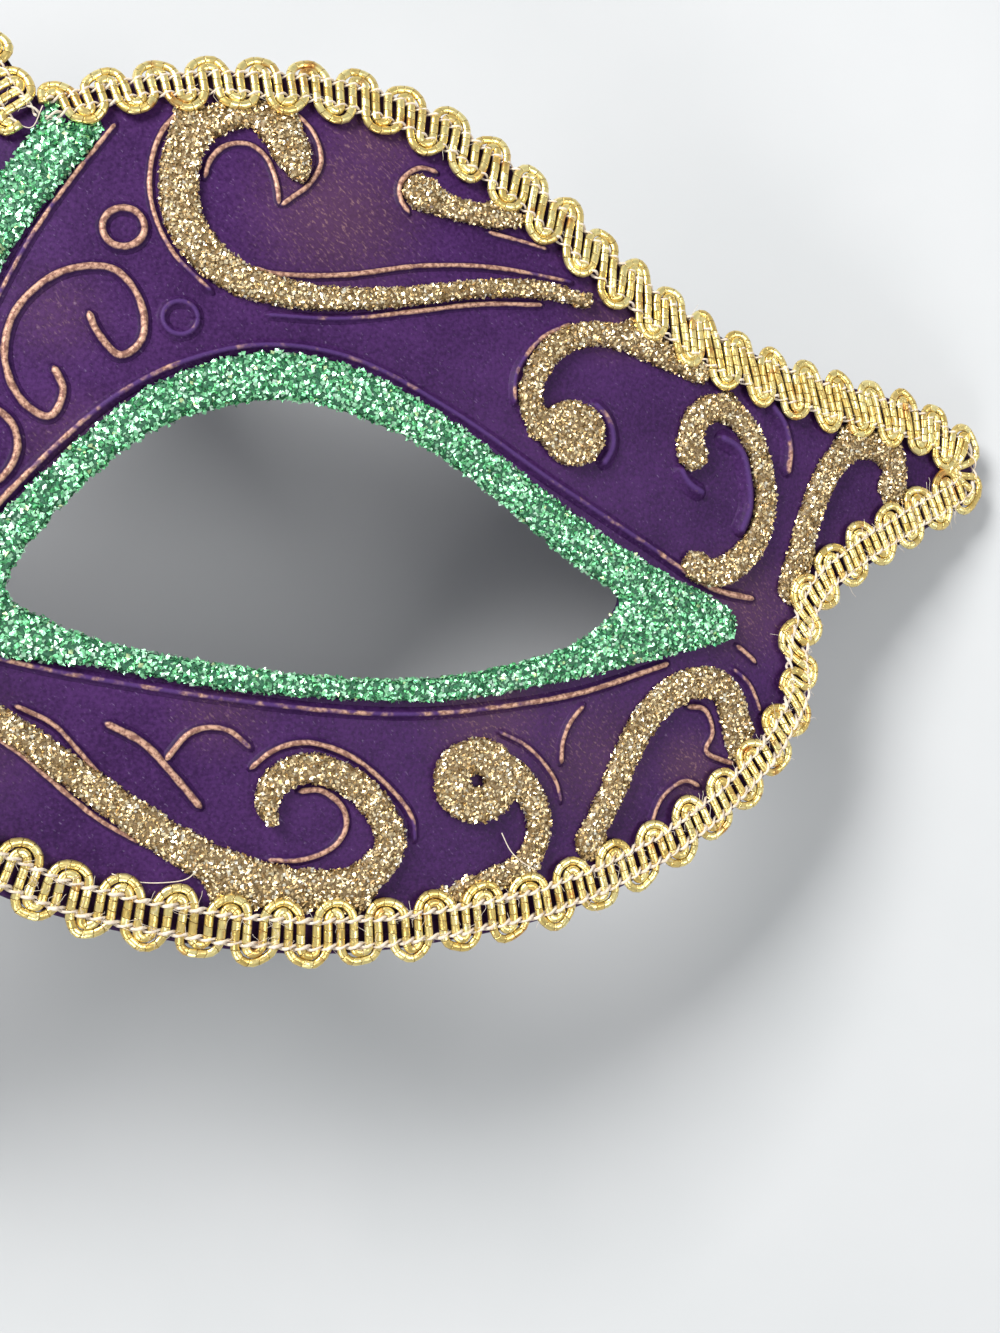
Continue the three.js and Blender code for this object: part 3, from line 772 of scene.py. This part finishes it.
def braid_line(first_row, last_row):
    """Columns x, y and row of EDGE along the middle of the braid."""
    row = np.linspace(first_row, last_row, BRAID_SAMPLES)
    edge = line_at(EDGE_LOOP, row, closed=True)
    inward = -rails(on_face(*edge.T), face_normal(*edge.T))[:, :2]
    inset = np.interp(np.abs(row), BRAID_ROWS[:, 0], BRAID_ROWS[:, 1])
    return np.column_stack([edge + inward * inset[:, None], row])


def with_tail(line, length):
    """The same line with a straight tail past its last place."""
    end, near = line[-1], line[-4]
    run = unit(end[:2] - near[:2]) * length
    return np.vstack([line, [*(end[:2] + run), end[2]]])


side_line = braid_line(SIDE_START_ROW, NOSE_ROW)
side_line = side_line[side_line[:, 0] > NOSE_JOINT]
top_line = braid_line(-CREST_END_ROW, CREST_END_ROW)
top_line = with_tail(with_tail(top_line, CREST_TAIL)[::-1], CREST_TAIL)[::-1]
half_lines = np.vstack([side_line[::2], top_line[BRAID_SAMPLES // 2 :: 2]])
BRAID_POINTS = on_face(half_lines[:, 0], half_lines[:, 1])
print(f"braid: {run_lengths(on_face(*side_line[:, :2].T))[-1]:.0f} mm along each side")

# %% [markdown]
# ## Glue beds
# The scrolls, the eye rings and the brow band are beads of glue strewn with glitter. Each bead is the
# frame's own node, merged, refined and smoothed, and let down into the wall. The solids stop short of the
# braid, so the cut ends are drawn on under its loops, and the eye rings lap down into the holes.

# %% Make the glue beds
NODE_WELD = 1e-6
SOLID_LOW = 0.3
SOLID_TALL = 0.65
BED_SMOOTH = 0.4
BED_LOW = -0.15
BED_HIGH = 0.85
BED_EDGE = 1.1
ROOM_HALF = 3.7
TUCK = 1.9
TUCK_DROP = 0.5
LAP_LOW = -1.6
LAP_NEAR = 0.8
HOLE_LINE = line_at(HOLE, np.linspace(0, len(HOLE), 400), closed=True)


def flat_places(bm):
    """Foot on the face and height above it, for each vertex."""
    points = np.array([vert.co for vert in bm.verts]) / MM - FACE_AT
    x, y, z = points.T
    up = face_normal(x, y)
    lift = (z - face_height(x, y)) * up[:, 2]
    return *(points[:, :2] - up[:, :2] * lift[:, None]).T, lift


def set_places(bm, x, y, lift):
    for vert, point in zip(bm.verts, on_face(x, y, lift)):
        vert.co = point * MM


def nearest_braid(x, y):
    """Distance from the braid's middle and the way towards it, for places on either half."""
    solid = on_face(np.abs(x), y)
    apart = np.linalg.norm(solid[:, None] - BRAID_POINTS[None], axis=-1)
    toward = unit(BRAID_POINTS[apart.argmin(axis=1)] - solid)
    return apart.min(axis=1), toward[:, 0] * np.sign(x), toward[:, 1]


def glue_bed(node):
    bm = bmesh.new()
    bm.from_mesh(frame["nodes"][node].data)
    bmesh.ops.remove_doubles(bm, verts=bm.verts, dist=NODE_WELD)
    for _ in range(2):
        long = [edge for edge in bm.edges if edge.calc_length() > BED_EDGE * MM]
        bmesh.ops.subdivide_edges(bm, edges=long, cuts=1)
        bmesh.ops.triangulate(bm, faces=bm.faces)
    x, y, lift = flat_places(bm)
    away, toward_x, toward_y = nearest_braid(x, y)
    reach = np.where(away < ROOM_HALF, TUCK, 0)
    set_places(bm, x + toward_x * reach, y + toward_y * reach, lift)
    for _ in range(2):
        bmesh.ops.smooth_vert(
            bm, verts=bm.verts, factor=BED_SMOOTH, use_axis_x=True, use_axis_y=True, use_axis_z=True,
        )
    x, y, lift = flat_places(bm)
    share = np.clip((lift - SOLID_LOW) / SOLID_TALL, 0, 1)
    under = np.clip(ROOM_HALF - nearest_braid(x, y)[0], 0, 1)
    places = np.stack([np.abs(x), y], axis=-1)
    to_hole = np.linalg.norm(places[:, None] - HOLE_LINE[None], axis=-1).min(axis=1)
    low = np.where(to_hole < LAP_NEAR, LAP_LOW, BED_LOW)
    high = BED_HIGH - TUCK_DROP * under
    set_places(bm, x, y, low + (high - low) * share)
    if bm.calc_volume(signed=True) < 0:
        bmesh.ops.reverse_faces(bm, faces=bm.faces)
    for face in bm.faces:
        face.smooth = True
    return bm


print("glue beds ready")

# %% [markdown]
# ## Glitter grains
# The grains are thousands of flat four-faced chips, the smallest closed shape there is, each with a tilt
# of its own, because glitter sparkles through its many angles and not through its colour. Places drawn at
# random leave heaps and bare spots, so many are tried and each small cell of space keeps one.

# %% Strew the grains
GRAIN_SIZES = {
    # slot: half a grain in millimetres
    "gold_glitter": 0.21,
    "green_glitter": 0.26,
}
GRAIN_SPREAD = (0.65, 1.2)
GRAIN_LIFT = (0.02, 0.14)
GRAIN_THICK = 0.035
GRAIN_SQUASH = 0.9
GRAIN_TILT = 0.5
GRAIN_SPILL = 0.09
GRAIN_CELL = 1.35
GRAINS_TRIED = 70
STEEPEST = -0.1
rng = np.random.default_rng(7)


def strew(mesh, size):
    """Corners and tints of grains, about evenly apart, on the faces of a mesh that don't look down."""
    mesh.calc_loop_triangles()
    corners = np.array([[mesh.vertices[v].co for v in tri.vertices] for tri in mesh.loop_triangles]) / MM
    edge_a = corners[:, 1] - corners[:, 0]
    edge_b = corners[:, 2] - corners[:, 0]
    flat = np.cross(edge_a, edge_b)
    area = np.linalg.norm(flat, axis=1) / 2
    up = flat / (2 * area[:, None] + 1e-12)
    weight = area * (up[:, 2] > STEEPEST)
    count = int(weight.sum() * GRAINS_TRIED)
    pick = rng.choice(len(area), count, p=weight / weight.sum())
    u, v = rng.random((2, count))
    inside = u + v > 1
    u, v = np.where(inside, 1 - u, u), np.where(inside, 1 - v, v)
    middle = corners[pick, 0] + edge_a[pick] * u[:, None] + edge_b[pick] * v[:, None]
    cells = np.floor(middle / (size * GRAIN_CELL))
    keep = np.unique(cells, axis=0, return_index=True)[1]
    middle, up, count = middle[keep], up[pick[keep]], len(keep)
    spill = rng.normal(0, GRAIN_SPILL, (count, 3))
    spill -= (spill * up).sum(axis=1, keepdims=True) * up
    middle += spill + up * rng.uniform(*GRAIN_LIFT, count)[:, None]
    facing = unit(up + rng.normal(0, GRAIN_TILT, (count, 3)))
    along = unit(np.cross(facing, rng.normal(0, 1, (count, 3))))
    half = (size * rng.uniform(*GRAIN_SPREAD, count))[:, None]
    across = np.cross(facing, along) * half * GRAIN_SQUASH
    along = along * half
    rise = facing * GRAIN_THICK
    chips = [middle + along + rise, middle - along + rise, middle + across - rise, middle - across - rise]
    return np.stack(chips, axis=1), rng.random(count)


print("half a grain, in mm:", GRAIN_SIZES)

# %% [markdown]
# ## Glitter colours
# Glitter is a mix of foils: most grains have the middle colour, some are dark and a few nearly white. A
# colour ramp in steps turns each grain's tint into one of them. The glue below is painted dark as
# shade, so that the gaps between grains read as depth.

# %% Mix the glitter colours
GOLD_FOILS = [
    # where the foil starts on the scale of tints, and its colour
    (0.0, (0.76, 0.58, 0.32)), (0.34, (0.56, 0.40, 0.19)), (0.56, (0.92, 0.78, 0.50)),
    (0.80, (0.30, 0.19, 0.08)), (0.92, (0.99, 0.93, 0.76)),
]
GREEN_FOILS = [
    (0.0, (0.30, 0.74, 0.40)), (0.36, (0.13, 0.44, 0.20)), (0.54, (0.50, 0.92, 0.59)),
    (0.80, (0.05, 0.22, 0.10)), (0.89, (0.70, 0.97, 0.76)), (0.975, (0.66, 0.82, 0.42)),
]


def grain_material(name, foils, roughness):
    """Metallic chips whose tint picks one of several foils."""
    foil, tree, shader = new_material(name, Metallic=0.85, Roughness=roughness)
    ramp = add_node(tree, "ShaderNodeValToRGB", {"Fac": attribute(tree, "tint")})
    ramp.color_ramp.interpolation = "CONSTANT"
    while len(ramp.color_ramp.elements) < len(foils):
        ramp.color_ramp.elements.new(1)
    for element, (start, colour) in zip(ramp.color_ramp.elements, foils):
        element.position = start
        element.color = (*colour, 1)
    fill(tree, shader.inputs["Base Color"], ramp.outputs[0])
    return foil


# The glue's dark colours paint shade into the gaps between the grains.
def bed_material(name, dark, light):
    glue, tree, shader = new_material(name, Roughness=0.45, Metallic=0.2)
    grain, _ = add_grain(tree, "glue")
    fill(tree, shader.inputs["Base Color"], mix_colour(tree, grain, dark, light))
    add_bump(tree, shader, grain, 0.6, 0.3 * MM)
    return glue


GLITTER_PAINTS = {
    # slot: material of the glue bed, material of the grains
    "gold_glitter": [
        bed_material("gold_glue", (0.09, 0.05, 0.018, 1), (0.25, 0.17, 0.07, 1)),
        grain_material("gold_grains", GOLD_FOILS, 0.31),
    ],
    "green_glitter": [
        bed_material("green_glue", (0.006, 0.05, 0.022, 1), (0.025, 0.14, 0.065, 1)),
        grain_material("green_grains", GREEN_FOILS, 0.34),
    ],
}
print(len(GOLD_FOILS), "gold foils and", len(GREEN_FOILS), "green ones")

# %% [markdown]
# ## Scrolls, rims and band
# A glue bed and its grains become one mesh with two materials. An operator for each of so many chips
# would take minutes, so their corners go into the mesh in a single call.

# %% Make the glitter pieces
CHIP_FACES = np.array([(0, 2, 1), (0, 1, 3), (0, 3, 2), (1, 2, 3)])


def glitter_piece(node, slot):
    mesh = to_mesh(node, glue_bed(node))
    chips, tints = strew(mesh, GRAIN_SIZES[slot])
    first = len(mesh.vertices)
    bed_verts = [tuple(vert.co) for vert in mesh.vertices]
    bed_faces = [tuple(face.vertices) for face in mesh.polygons]
    grain_verts = (chips.reshape(-1, 3) * MM).tolist()
    grain_faces = (CHIP_FACES[None] + first + 4 * np.arange(len(chips))[:, None, None]).reshape(-1, 3)
    mesh.clear_geometry()
    mesh.from_pydata(bed_verts + grain_verts, [], bed_faces + grain_faces.tolist())
    material = np.r_[np.zeros(len(bed_faces), int), np.ones(len(grain_faces), int)]
    mesh.polygons.foreach_set("material_index", material)
    mesh.polygons.foreach_set("use_smooth", material == 0)
    tint = mesh.attributes.new("tint", "FLOAT", "POINT")
    tint.data.foreach_set("value", np.r_[np.zeros(first), np.repeat(tints, 4)])
    place_piece(f"{node}_glitter", mesh, GLITTER_PAINTS[slot], slot, node)


for row in frame["record"]["subparts"]:
    if row["material_slot"] in GRAIN_SIZES:
        glitter_piece(row["node"], row["material_slot"])

# %% [markdown]
# ## Foil and yarn
# Each cord of the braid is a core wrapped in flat gold foil. Its UV map runs along the cord in
# millimetres, so every turn of the foil can have a groove, a shade and a slant of its own, whatever way
# the cord bends. The yarn is plain cotton.

# %% Mix the foil and the yarn
WRAP_PITCH = 0.95
WRAP_SLANT = 0.35
WRAP_SLIP = 1.2
FACET_RISE = 3.0
FOIL_PALE = (0.92, 0.78, 0.34, 1)
FOIL_DEEP = (0.74, 0.52, 0.15, 1)
FOIL_BURNT = (0.60, 0.30, 0.08, 1)
FOIL_GROOVE = (0.33, 0.20, 0.06, 1)
YARN_DIM = (0.32, 0.24, 0.17, 1)
YARN_PALE = (0.85, 0.74, 0.61, 1)


def uv_parts(tree):
    uv = tree.nodes.new("ShaderNodeTexCoord").outputs["UV"]
    return add_node(tree, "ShaderNodeSeparateXYZ", {0: uv}).outputs[:2]


def mix_foil():
    foil, tree, shader = new_material("gold_foil", Metallic=0.85)
    along, around = uv_parts(tree)
    grain, cloud = add_grain(tree, "foil")
    slip = math_node(tree, "MULTIPLY", cloud, WRAP_SLIP)
    slip = math_node(tree, "MULTIPLY_ADD", around, WRAP_SLANT, slip)
    turns = math_node(tree, "MULTIPLY_ADD", along, 1 / WRAP_PITCH, slip)
    number = math_node(tree, "FLOOR", turns)
    draw = add_node(tree, "ShaderNodeTexWhiteNoise", {"W": number}, noise_dimensions="1D").outputs[0]
    within = math_node(tree, "SUBTRACT", math_node(tree, "FRACT", turns), 0.5)
    groove = step_between(tree, math_node(tree, "ABSOLUTE", within), 0.43, 0.49)
    colour = mix_colour(tree, draw, FOIL_PALE, FOIL_DEEP)
    colour = mix_colour(tree, step_between(tree, cloud, 0.58, 0.72), colour, FOIL_BURNT)
    colour = mix_colour(tree, math_node(tree, "MULTIPLY", groove, 0.8), colour, FOIL_GROOVE)
    fill(tree, shader.inputs["Base Color"], colour)
    fill(tree, shader.inputs["Roughness"], math_node(tree, "MULTIPLY_ADD", grain, 0.25, 0.18))
    facet = math_node(tree, "MULTIPLY", within, math_node(tree, "SUBTRACT", draw, 0.5))
    height = math_node(tree, "SUBTRACT", grain, groove)
    height = math_node(tree, "MULTIPLY_ADD", facet, FACET_RISE, height)
    add_bump(tree, shader, height, 0.8, 0.12 * MM)
    return foil


def mix_yarn():
    cotton, tree, shader = new_material("cream_yarn", Roughness=0.9, Sheen_Weight=0.3)
    grain, _ = add_grain(tree, "yarn")
    fill(tree, shader.inputs["Base Color"], mix_colour(tree, grain, YARN_DIM, YARN_PALE))
    add_bump(tree, shader, grain, 0.8, 0.1 * MM)
    return cotton


FOIL = mix_foil()
YARN = mix_yarn()
print("foil and yarn ready")

# %% [markdown]
# ## The run of the braid
# Gimp is two gold cords laid side by side in a tight serpentine and held by cream yarns. Cords and
# yarns are drawn flat first, along and across the braid, and one class lays such places on the face. It
# fits a whole number of loops to the run, and gives slow waves, since no two real loops are alike.

# %% Measure the braid
BRAID_STEP = 0.25
LOWER_ROWS = (18, 24)
WAVES = [
    # share of the whole, radians to the millimetre
    (0.6, 0.83),
    (0.4, 2.1),
]


class Braid:
    """A length of braid: its line on the front, and how its loops lie along that line."""

    def __init__(self, line, seed, mirror=False):
        path, self.run = even_path(line, BRAID_STEP)
        x, y, row = path.T
        left = rails(on_face(x, y), face_normal(x, y))
        self.line = (x, y, left[:, 0], left[:, 1])
        self.ways = [np.interp(np.abs(row), BRAID_ROWS[:, 0], BRAID_ROWS[:, k]) for k in (2, 3, 4)]
        self.low = np.interp(row, LOWER_ROWS, (0, 1))
        self.low_from = self.run[np.argmax(self.low > 0)]
        turns = np.concatenate([[0], np.cumsum(np.diff(self.run) / self.ways[0][1:])])
        self.loops = round(turns[-1])
        self.turns = turns * self.loops / turns[-1]
        self.draw = np.random.default_rng(seed)
        self.waves = self.draw.uniform(0, 2 * np.pi, 8)
        self.flip = np.array([-1 if mirror else 1, 1, 1])

    def at(self, turns):
        """Place along the run, pitch, lean, width share and lowness, after some number of loops."""
        return [np.interp(turns, self.turns, column) for column in (self.run, *self.ways, self.low)]

    def wobble(self, along, k):
        """A slow uneven change along the braid, about from -1 to 1."""
        starts = self.waves[2 * k : 2 * k + 2]
        return sum(share * np.sin(along * pace + start) for (share, pace), start in zip(WAVES, starts))

    def points(self, along, across, lift):
        """Points of the frame, and the way up, for places along and across the braid."""
        x, y, left_x, left_y = (np.interp(along, self.run, column) for column in self.line)
        x, y = x + left_x * across, y + left_y * across
        return on_face(x, y, lift) * self.flip, face_normal(x, y) * self.flip


BRAIDS = {
    "trim_right": Braid(side_line, 1),
    "trim_left": Braid(side_line, 2, mirror=True),
    "trim_crest": Braid(top_line, 3),
}
for node, braid in BRAIDS.items():
    print(f"{node}: {braid.loops} loops on {braid.run[-1]:.0f} mm")

# %% [markdown]
# ## Cords
# The serpentine is half circles joined by straight legs. Each lobe is worked out round its own middle and
# turned where the legs lean, and the legs are drawn between lobes. The inner cord is pushed up into each
# lobe, as the yarns pull it.

# %% Shape the cords
LEG_HALF = 1.05
CORD_APART = 0.57
CORD_NEST = 0.28
CORD_WIDE = 0.42
CORD_TALL = 0.33
CORD_SIDES = 8
CORD_LIFT = 0.80
LOBE_STEPS = 11
LEG_STEPS = 4
CROWN = 0.02
WIDTH_WOBBLE = 0.06
SIDE_WOBBLE = 0.08
LIFT_WOBBLE = 0.06
RUN_WOBBLE = 0.12


def round_rings(points, up, wide, tall, sides):
    side = rails(points, up)
    over = unit(np.cross(np.gradient(points, axis=0), side))
    turn = np.linspace(0, 2 * np.pi, sides, endpoint=False)[:, None]
    return points[:, None] + side[:, None] * np.cos(turn) * wide + over[:, None] * np.sin(turn) * tall


def leg_half(width):
    """Half the length of a leg. Where the braid is seen at a slant, legs lose more than lobes."""
    return LEG_HALF * (2 * width - 1)


def cord_path(braid, apart):
    """Places along and across the braid of the cord that runs some way to the left of the middle."""
    lobe = np.arange(2 * braid.loops)[:, None]
    side = np.where(lobe % 2, -1, 1)
    along, pitch, lean, width, _ = braid.at((lobe + 0.5) / 2)
    square = np.cos(np.arctan(lean))
    radius = (pitch / 4 + side * apart) * square
    half = side * (leg_half(width) + CORD_NEST * (side * apart < 0))
    turn = np.linspace(0, np.pi, LOBE_STEPS)
    aside = -radius * np.cos(turn)
    out = side * radius * np.sin(turn) * (1 + width) / 2
    lobes_along = along + lean * half + (aside + lean * out) * square
    lobes = np.stack([lobes_along, half + (out - lean * aside) * square], axis=-1)
    share = np.arange(1, LEG_STEPS)[:, None] / LEG_STEPS
    legs = lobes[:-1, -1:] + (lobes[1:, :1] - lobes[:-1, -1:]) * share
    joined = np.concatenate([lobes[:-1], legs], axis=1).reshape(-1, 2)
    return np.concatenate([joined, lobes[-1]]).T


def lay_cord(bm, braid, apart):
    along, across = cord_path(braid, apart)
    across = across * (1 + WIDTH_WOBBLE * braid.wobble(along, 0)) + SIDE_WOBBLE * braid.wobble(along, 1)
    lift = CORD_LIFT - CROWN * across**2 + LIFT_WOBBLE * braid.wobble(along, 2)
    points, up = braid.points(along + RUN_WOBBLE * braid.wobble(along * 1.7, 3), across, lift)
    bend_bar(bm, round_rings(points, up, CORD_WIDE, CORD_TALL, CORD_SIDES), run_lengths(points))


print(f"cords {2 * CORD_WIDE} mm wide")

# %% [markdown]
# ## Yarns and fibres
# Pairs of cotton yarns twine along both edges of the braid, each over every second leg. They are fuller
# along the mask's lower edge, where fine fibres also stand out from them, and a few longer ends lie loose
# beside the braid. All are thin closed bars of one material.

# %% Shape the yarns
# A pair of values is for the upper and the lower edge of the mask.
YARN_RADIUS = (0.115, 0.155)
YARN_SINK = (0.15, 0.09)
YARN_UNEVEN = 0.3
YARN_SIDES = 6
YARN_STEPS = 24
YARN_OUT = 0.2
YARN_SWAY = 0.17
YARN_WEAVE = 0.40
FUZZ_PER_MM = 2.3
FUZZ_LOW_SHARE = 0.75
FUZZ_RADIUS = 0.021
FUZZ_LIFT = 1.2
FUZZ_LOWEST = 0.2
FUZZ_SPREAD = (0.9, 0.5, 0.4, 0.25)
STRAY_RADIUS = 0.05
STRAYS = [
    # x, y, lift of loose yarn ends: two on the cheek, one below the crest
    [(24.5, -25.2, 0.9), (26.6, -26.1, 0.3), (28.7, -26.3, 0.2), (30.8, -26, 0.4), (31.7, -25.1, 0.9)],
    [(59, -22.8, 0.4), (59.7, -24.5, 0.8), (60.7, -25.6, 1.2), (61.9, -26.3, 1.3)],
    [(15.5, 41.5, 0.2), (17.3, 40.8, 0.4), (18.2, 42.6, 1.0)],
]


def lay_thread(bm, points, up, radius, sides):
    bend_bar(bm, round_rings(points, up, radius, radius, sides), run_lengths(points), material=1)


def lay_yarn(bm, braid, side, phase):
    turns = np.linspace(0, braid.loops, braid.loops * YARN_STEPS)
    along, _, lean, width, low = braid.at(turns)
    twine = 4 * np.pi * turns - np.pi / 2 + phase
    across = side * (leg_half(width) + YARN_OUT) + YARN_SWAY * np.sin(twine)
    radius, sink = (np.interp(low, (0, 1), ends) for ends in (YARN_RADIUS, YARN_SINK))
    radius = (radius * (1 + YARN_UNEVEN * braid.wobble(3 * along, 3)))[:, None, None]
    lift = CORD_LIFT - sink + YARN_WEAVE * np.cos(twine)
    points, up = braid.points(along + lean * across, across + SIDE_WOBBLE * braid.wobble(along, 1), lift)
    lay_thread(bm, points, up, radius, YARN_SIDES)


def lay_fuzz(bm, braid):
    """Fine loose fibres that stand out from the yarns, most of them along the lower edge."""
    t = np.linspace(0, 1, 6)
    for _ in range(int(FUZZ_PER_MM * braid.run[-1])):
        first = braid.low_from if braid.draw.random() < FUZZ_LOW_SHARE else 0.0
        start = braid.draw.uniform(first, braid.run[-1])
        reach, drift, rise, curl = braid.draw.normal(0, FUZZ_SPREAD)
        across = braid.draw.choice((-LEG_HALF, LEG_HALF)) + reach * t
        along = start + drift * t + curl * np.sin(5 * t)
        points, up = braid.points(along, across, np.maximum(FUZZ_LOWEST, FUZZ_LIFT + rise * t))
        lay_thread(bm, points, up, FUZZ_RADIUS, 3)


def lay_strays(bm, flip):
    for rows in STRAYS:
        x, y, lift = smooth_line(rows, 6).T
        lay_thread(bm, on_face(x, y, lift) * flip, face_normal(x, y) * flip, STRAY_RADIUS, 5)


print(len(STRAYS), "loose ends on each half")

# %% [markdown]
# ## Laying the braid
# A length of braid is one mesh with two materials, foil and yarn. The fibres go in first, because each
# new bar takes longer the larger the bmesh has grown, and there are hundreds of them.

# %% Lay the braid
def lay_braid(node, braid):
    bm = bmesh.new()
    lay_fuzz(bm, braid)
    if node != "trim_crest":
        lay_strays(bm, braid.flip)
    for side in (1, -1):
        for phase in (0, np.pi):
            lay_yarn(bm, braid, side, phase)
    for apart in (CORD_APART, -CORD_APART):
        lay_cord(bm, braid, apart)
    name = f"{node}_gimp"
    place_piece(name, to_mesh(name, bm), [FOIL, YARN], "gold_braid", node)


for node, braid in BRAIDS.items():
    lay_braid(node, braid)

# %% [markdown]
# ## Stick
# The hand stick is a turned dowel with eased ends. It starts as a cylinder, its two rims are bevelled,
# and it is laid on the line between the end centres of the frame's own stick.

# %% Turn the stick
STICK_SIDES = 48
STICK_EASE = 0.8
END_REACH = 0.5
STICK_FIBRE = (1600, 60, 1600)
STICK_DEEP = (0.42, 0.25, 0.06, 1)
STICK_PALE = (0.62, 0.44, 0.15, 1)
STICK_WORN = (0.36, 0.24, 0.13, 1)


def stick_ends():
    points = np.array([vert.co for vert in frame["nodes"]["stick"].data.vertices])
    low, high = points[:, 1].min(), points[:, 1].max()
    foot = points[points[:, 1] < low + END_REACH * MM]
    head = points[points[:, 1] > high - END_REACH * MM]
    return Vector((foot.min(0) + foot.max(0)) / 2), Vector((head.min(0) + head.max(0)) / 2)


def turn_stick(material):
    foot, head = stick_ends()
    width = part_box("stick")[1].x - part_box("stick")[0].x
    bm = bmesh.new()
    bmesh.ops.create_cone(
        bm, cap_ends=True, segments=STICK_SIDES, radius1=width / 2, radius2=width / 2,
        depth=(head - foot).length,
    )
    ease_rims(bm, STICK_EASE)
    turn = (head - foot).to_track_quat("Z", "Y").to_matrix().to_4x4()
    bmesh.ops.transform(bm, matrix=turn, verts=bm.verts)
    bmesh.ops.translate(bm, vec=(foot + head) / 2, verts=bm.verts)
    for face in bm.faces:
        face.smooth = len(face.verts) == 4
    place_piece("hand_stick", to_mesh("hand_stick", bm), [material], "stick", "stick")


def mix_stick_paint():
    paint, tree, shader = new_material("gold_paint", Metallic=0.5)
    place = tree.nodes.new("ShaderNodeTexCoord").outputs["Object"]
    drawn = add_node(tree, "ShaderNodeMapping", {"Vector": place, "Scale": STICK_FIBRE})
    fibre = add_noise(tree, drawn.outputs[0], 1.0, 4)
    grain, cloud = add_grain(tree, "stick")
    colour = mix_colour(tree, fibre, STICK_DEEP, STICK_PALE)
    wear_and_highlight = math_node(tree, "MULTIPLY", step_between(tree, cloud, 0.60, 0.72), 0.5)
    fill(tree, shader.inputs["Base Color"], mix_colour(tree, wear_and_highlight, colour, STICK_WORN))
    fill(tree, shader.inputs["Roughness"], math_node(tree, "MULTIPLY_ADD", grain, 0.2, 0.33))
    add_bump(tree, shader, fibre, 0.35, 0.2 * MM)
    return paint


turn_stick(mix_stick_paint())
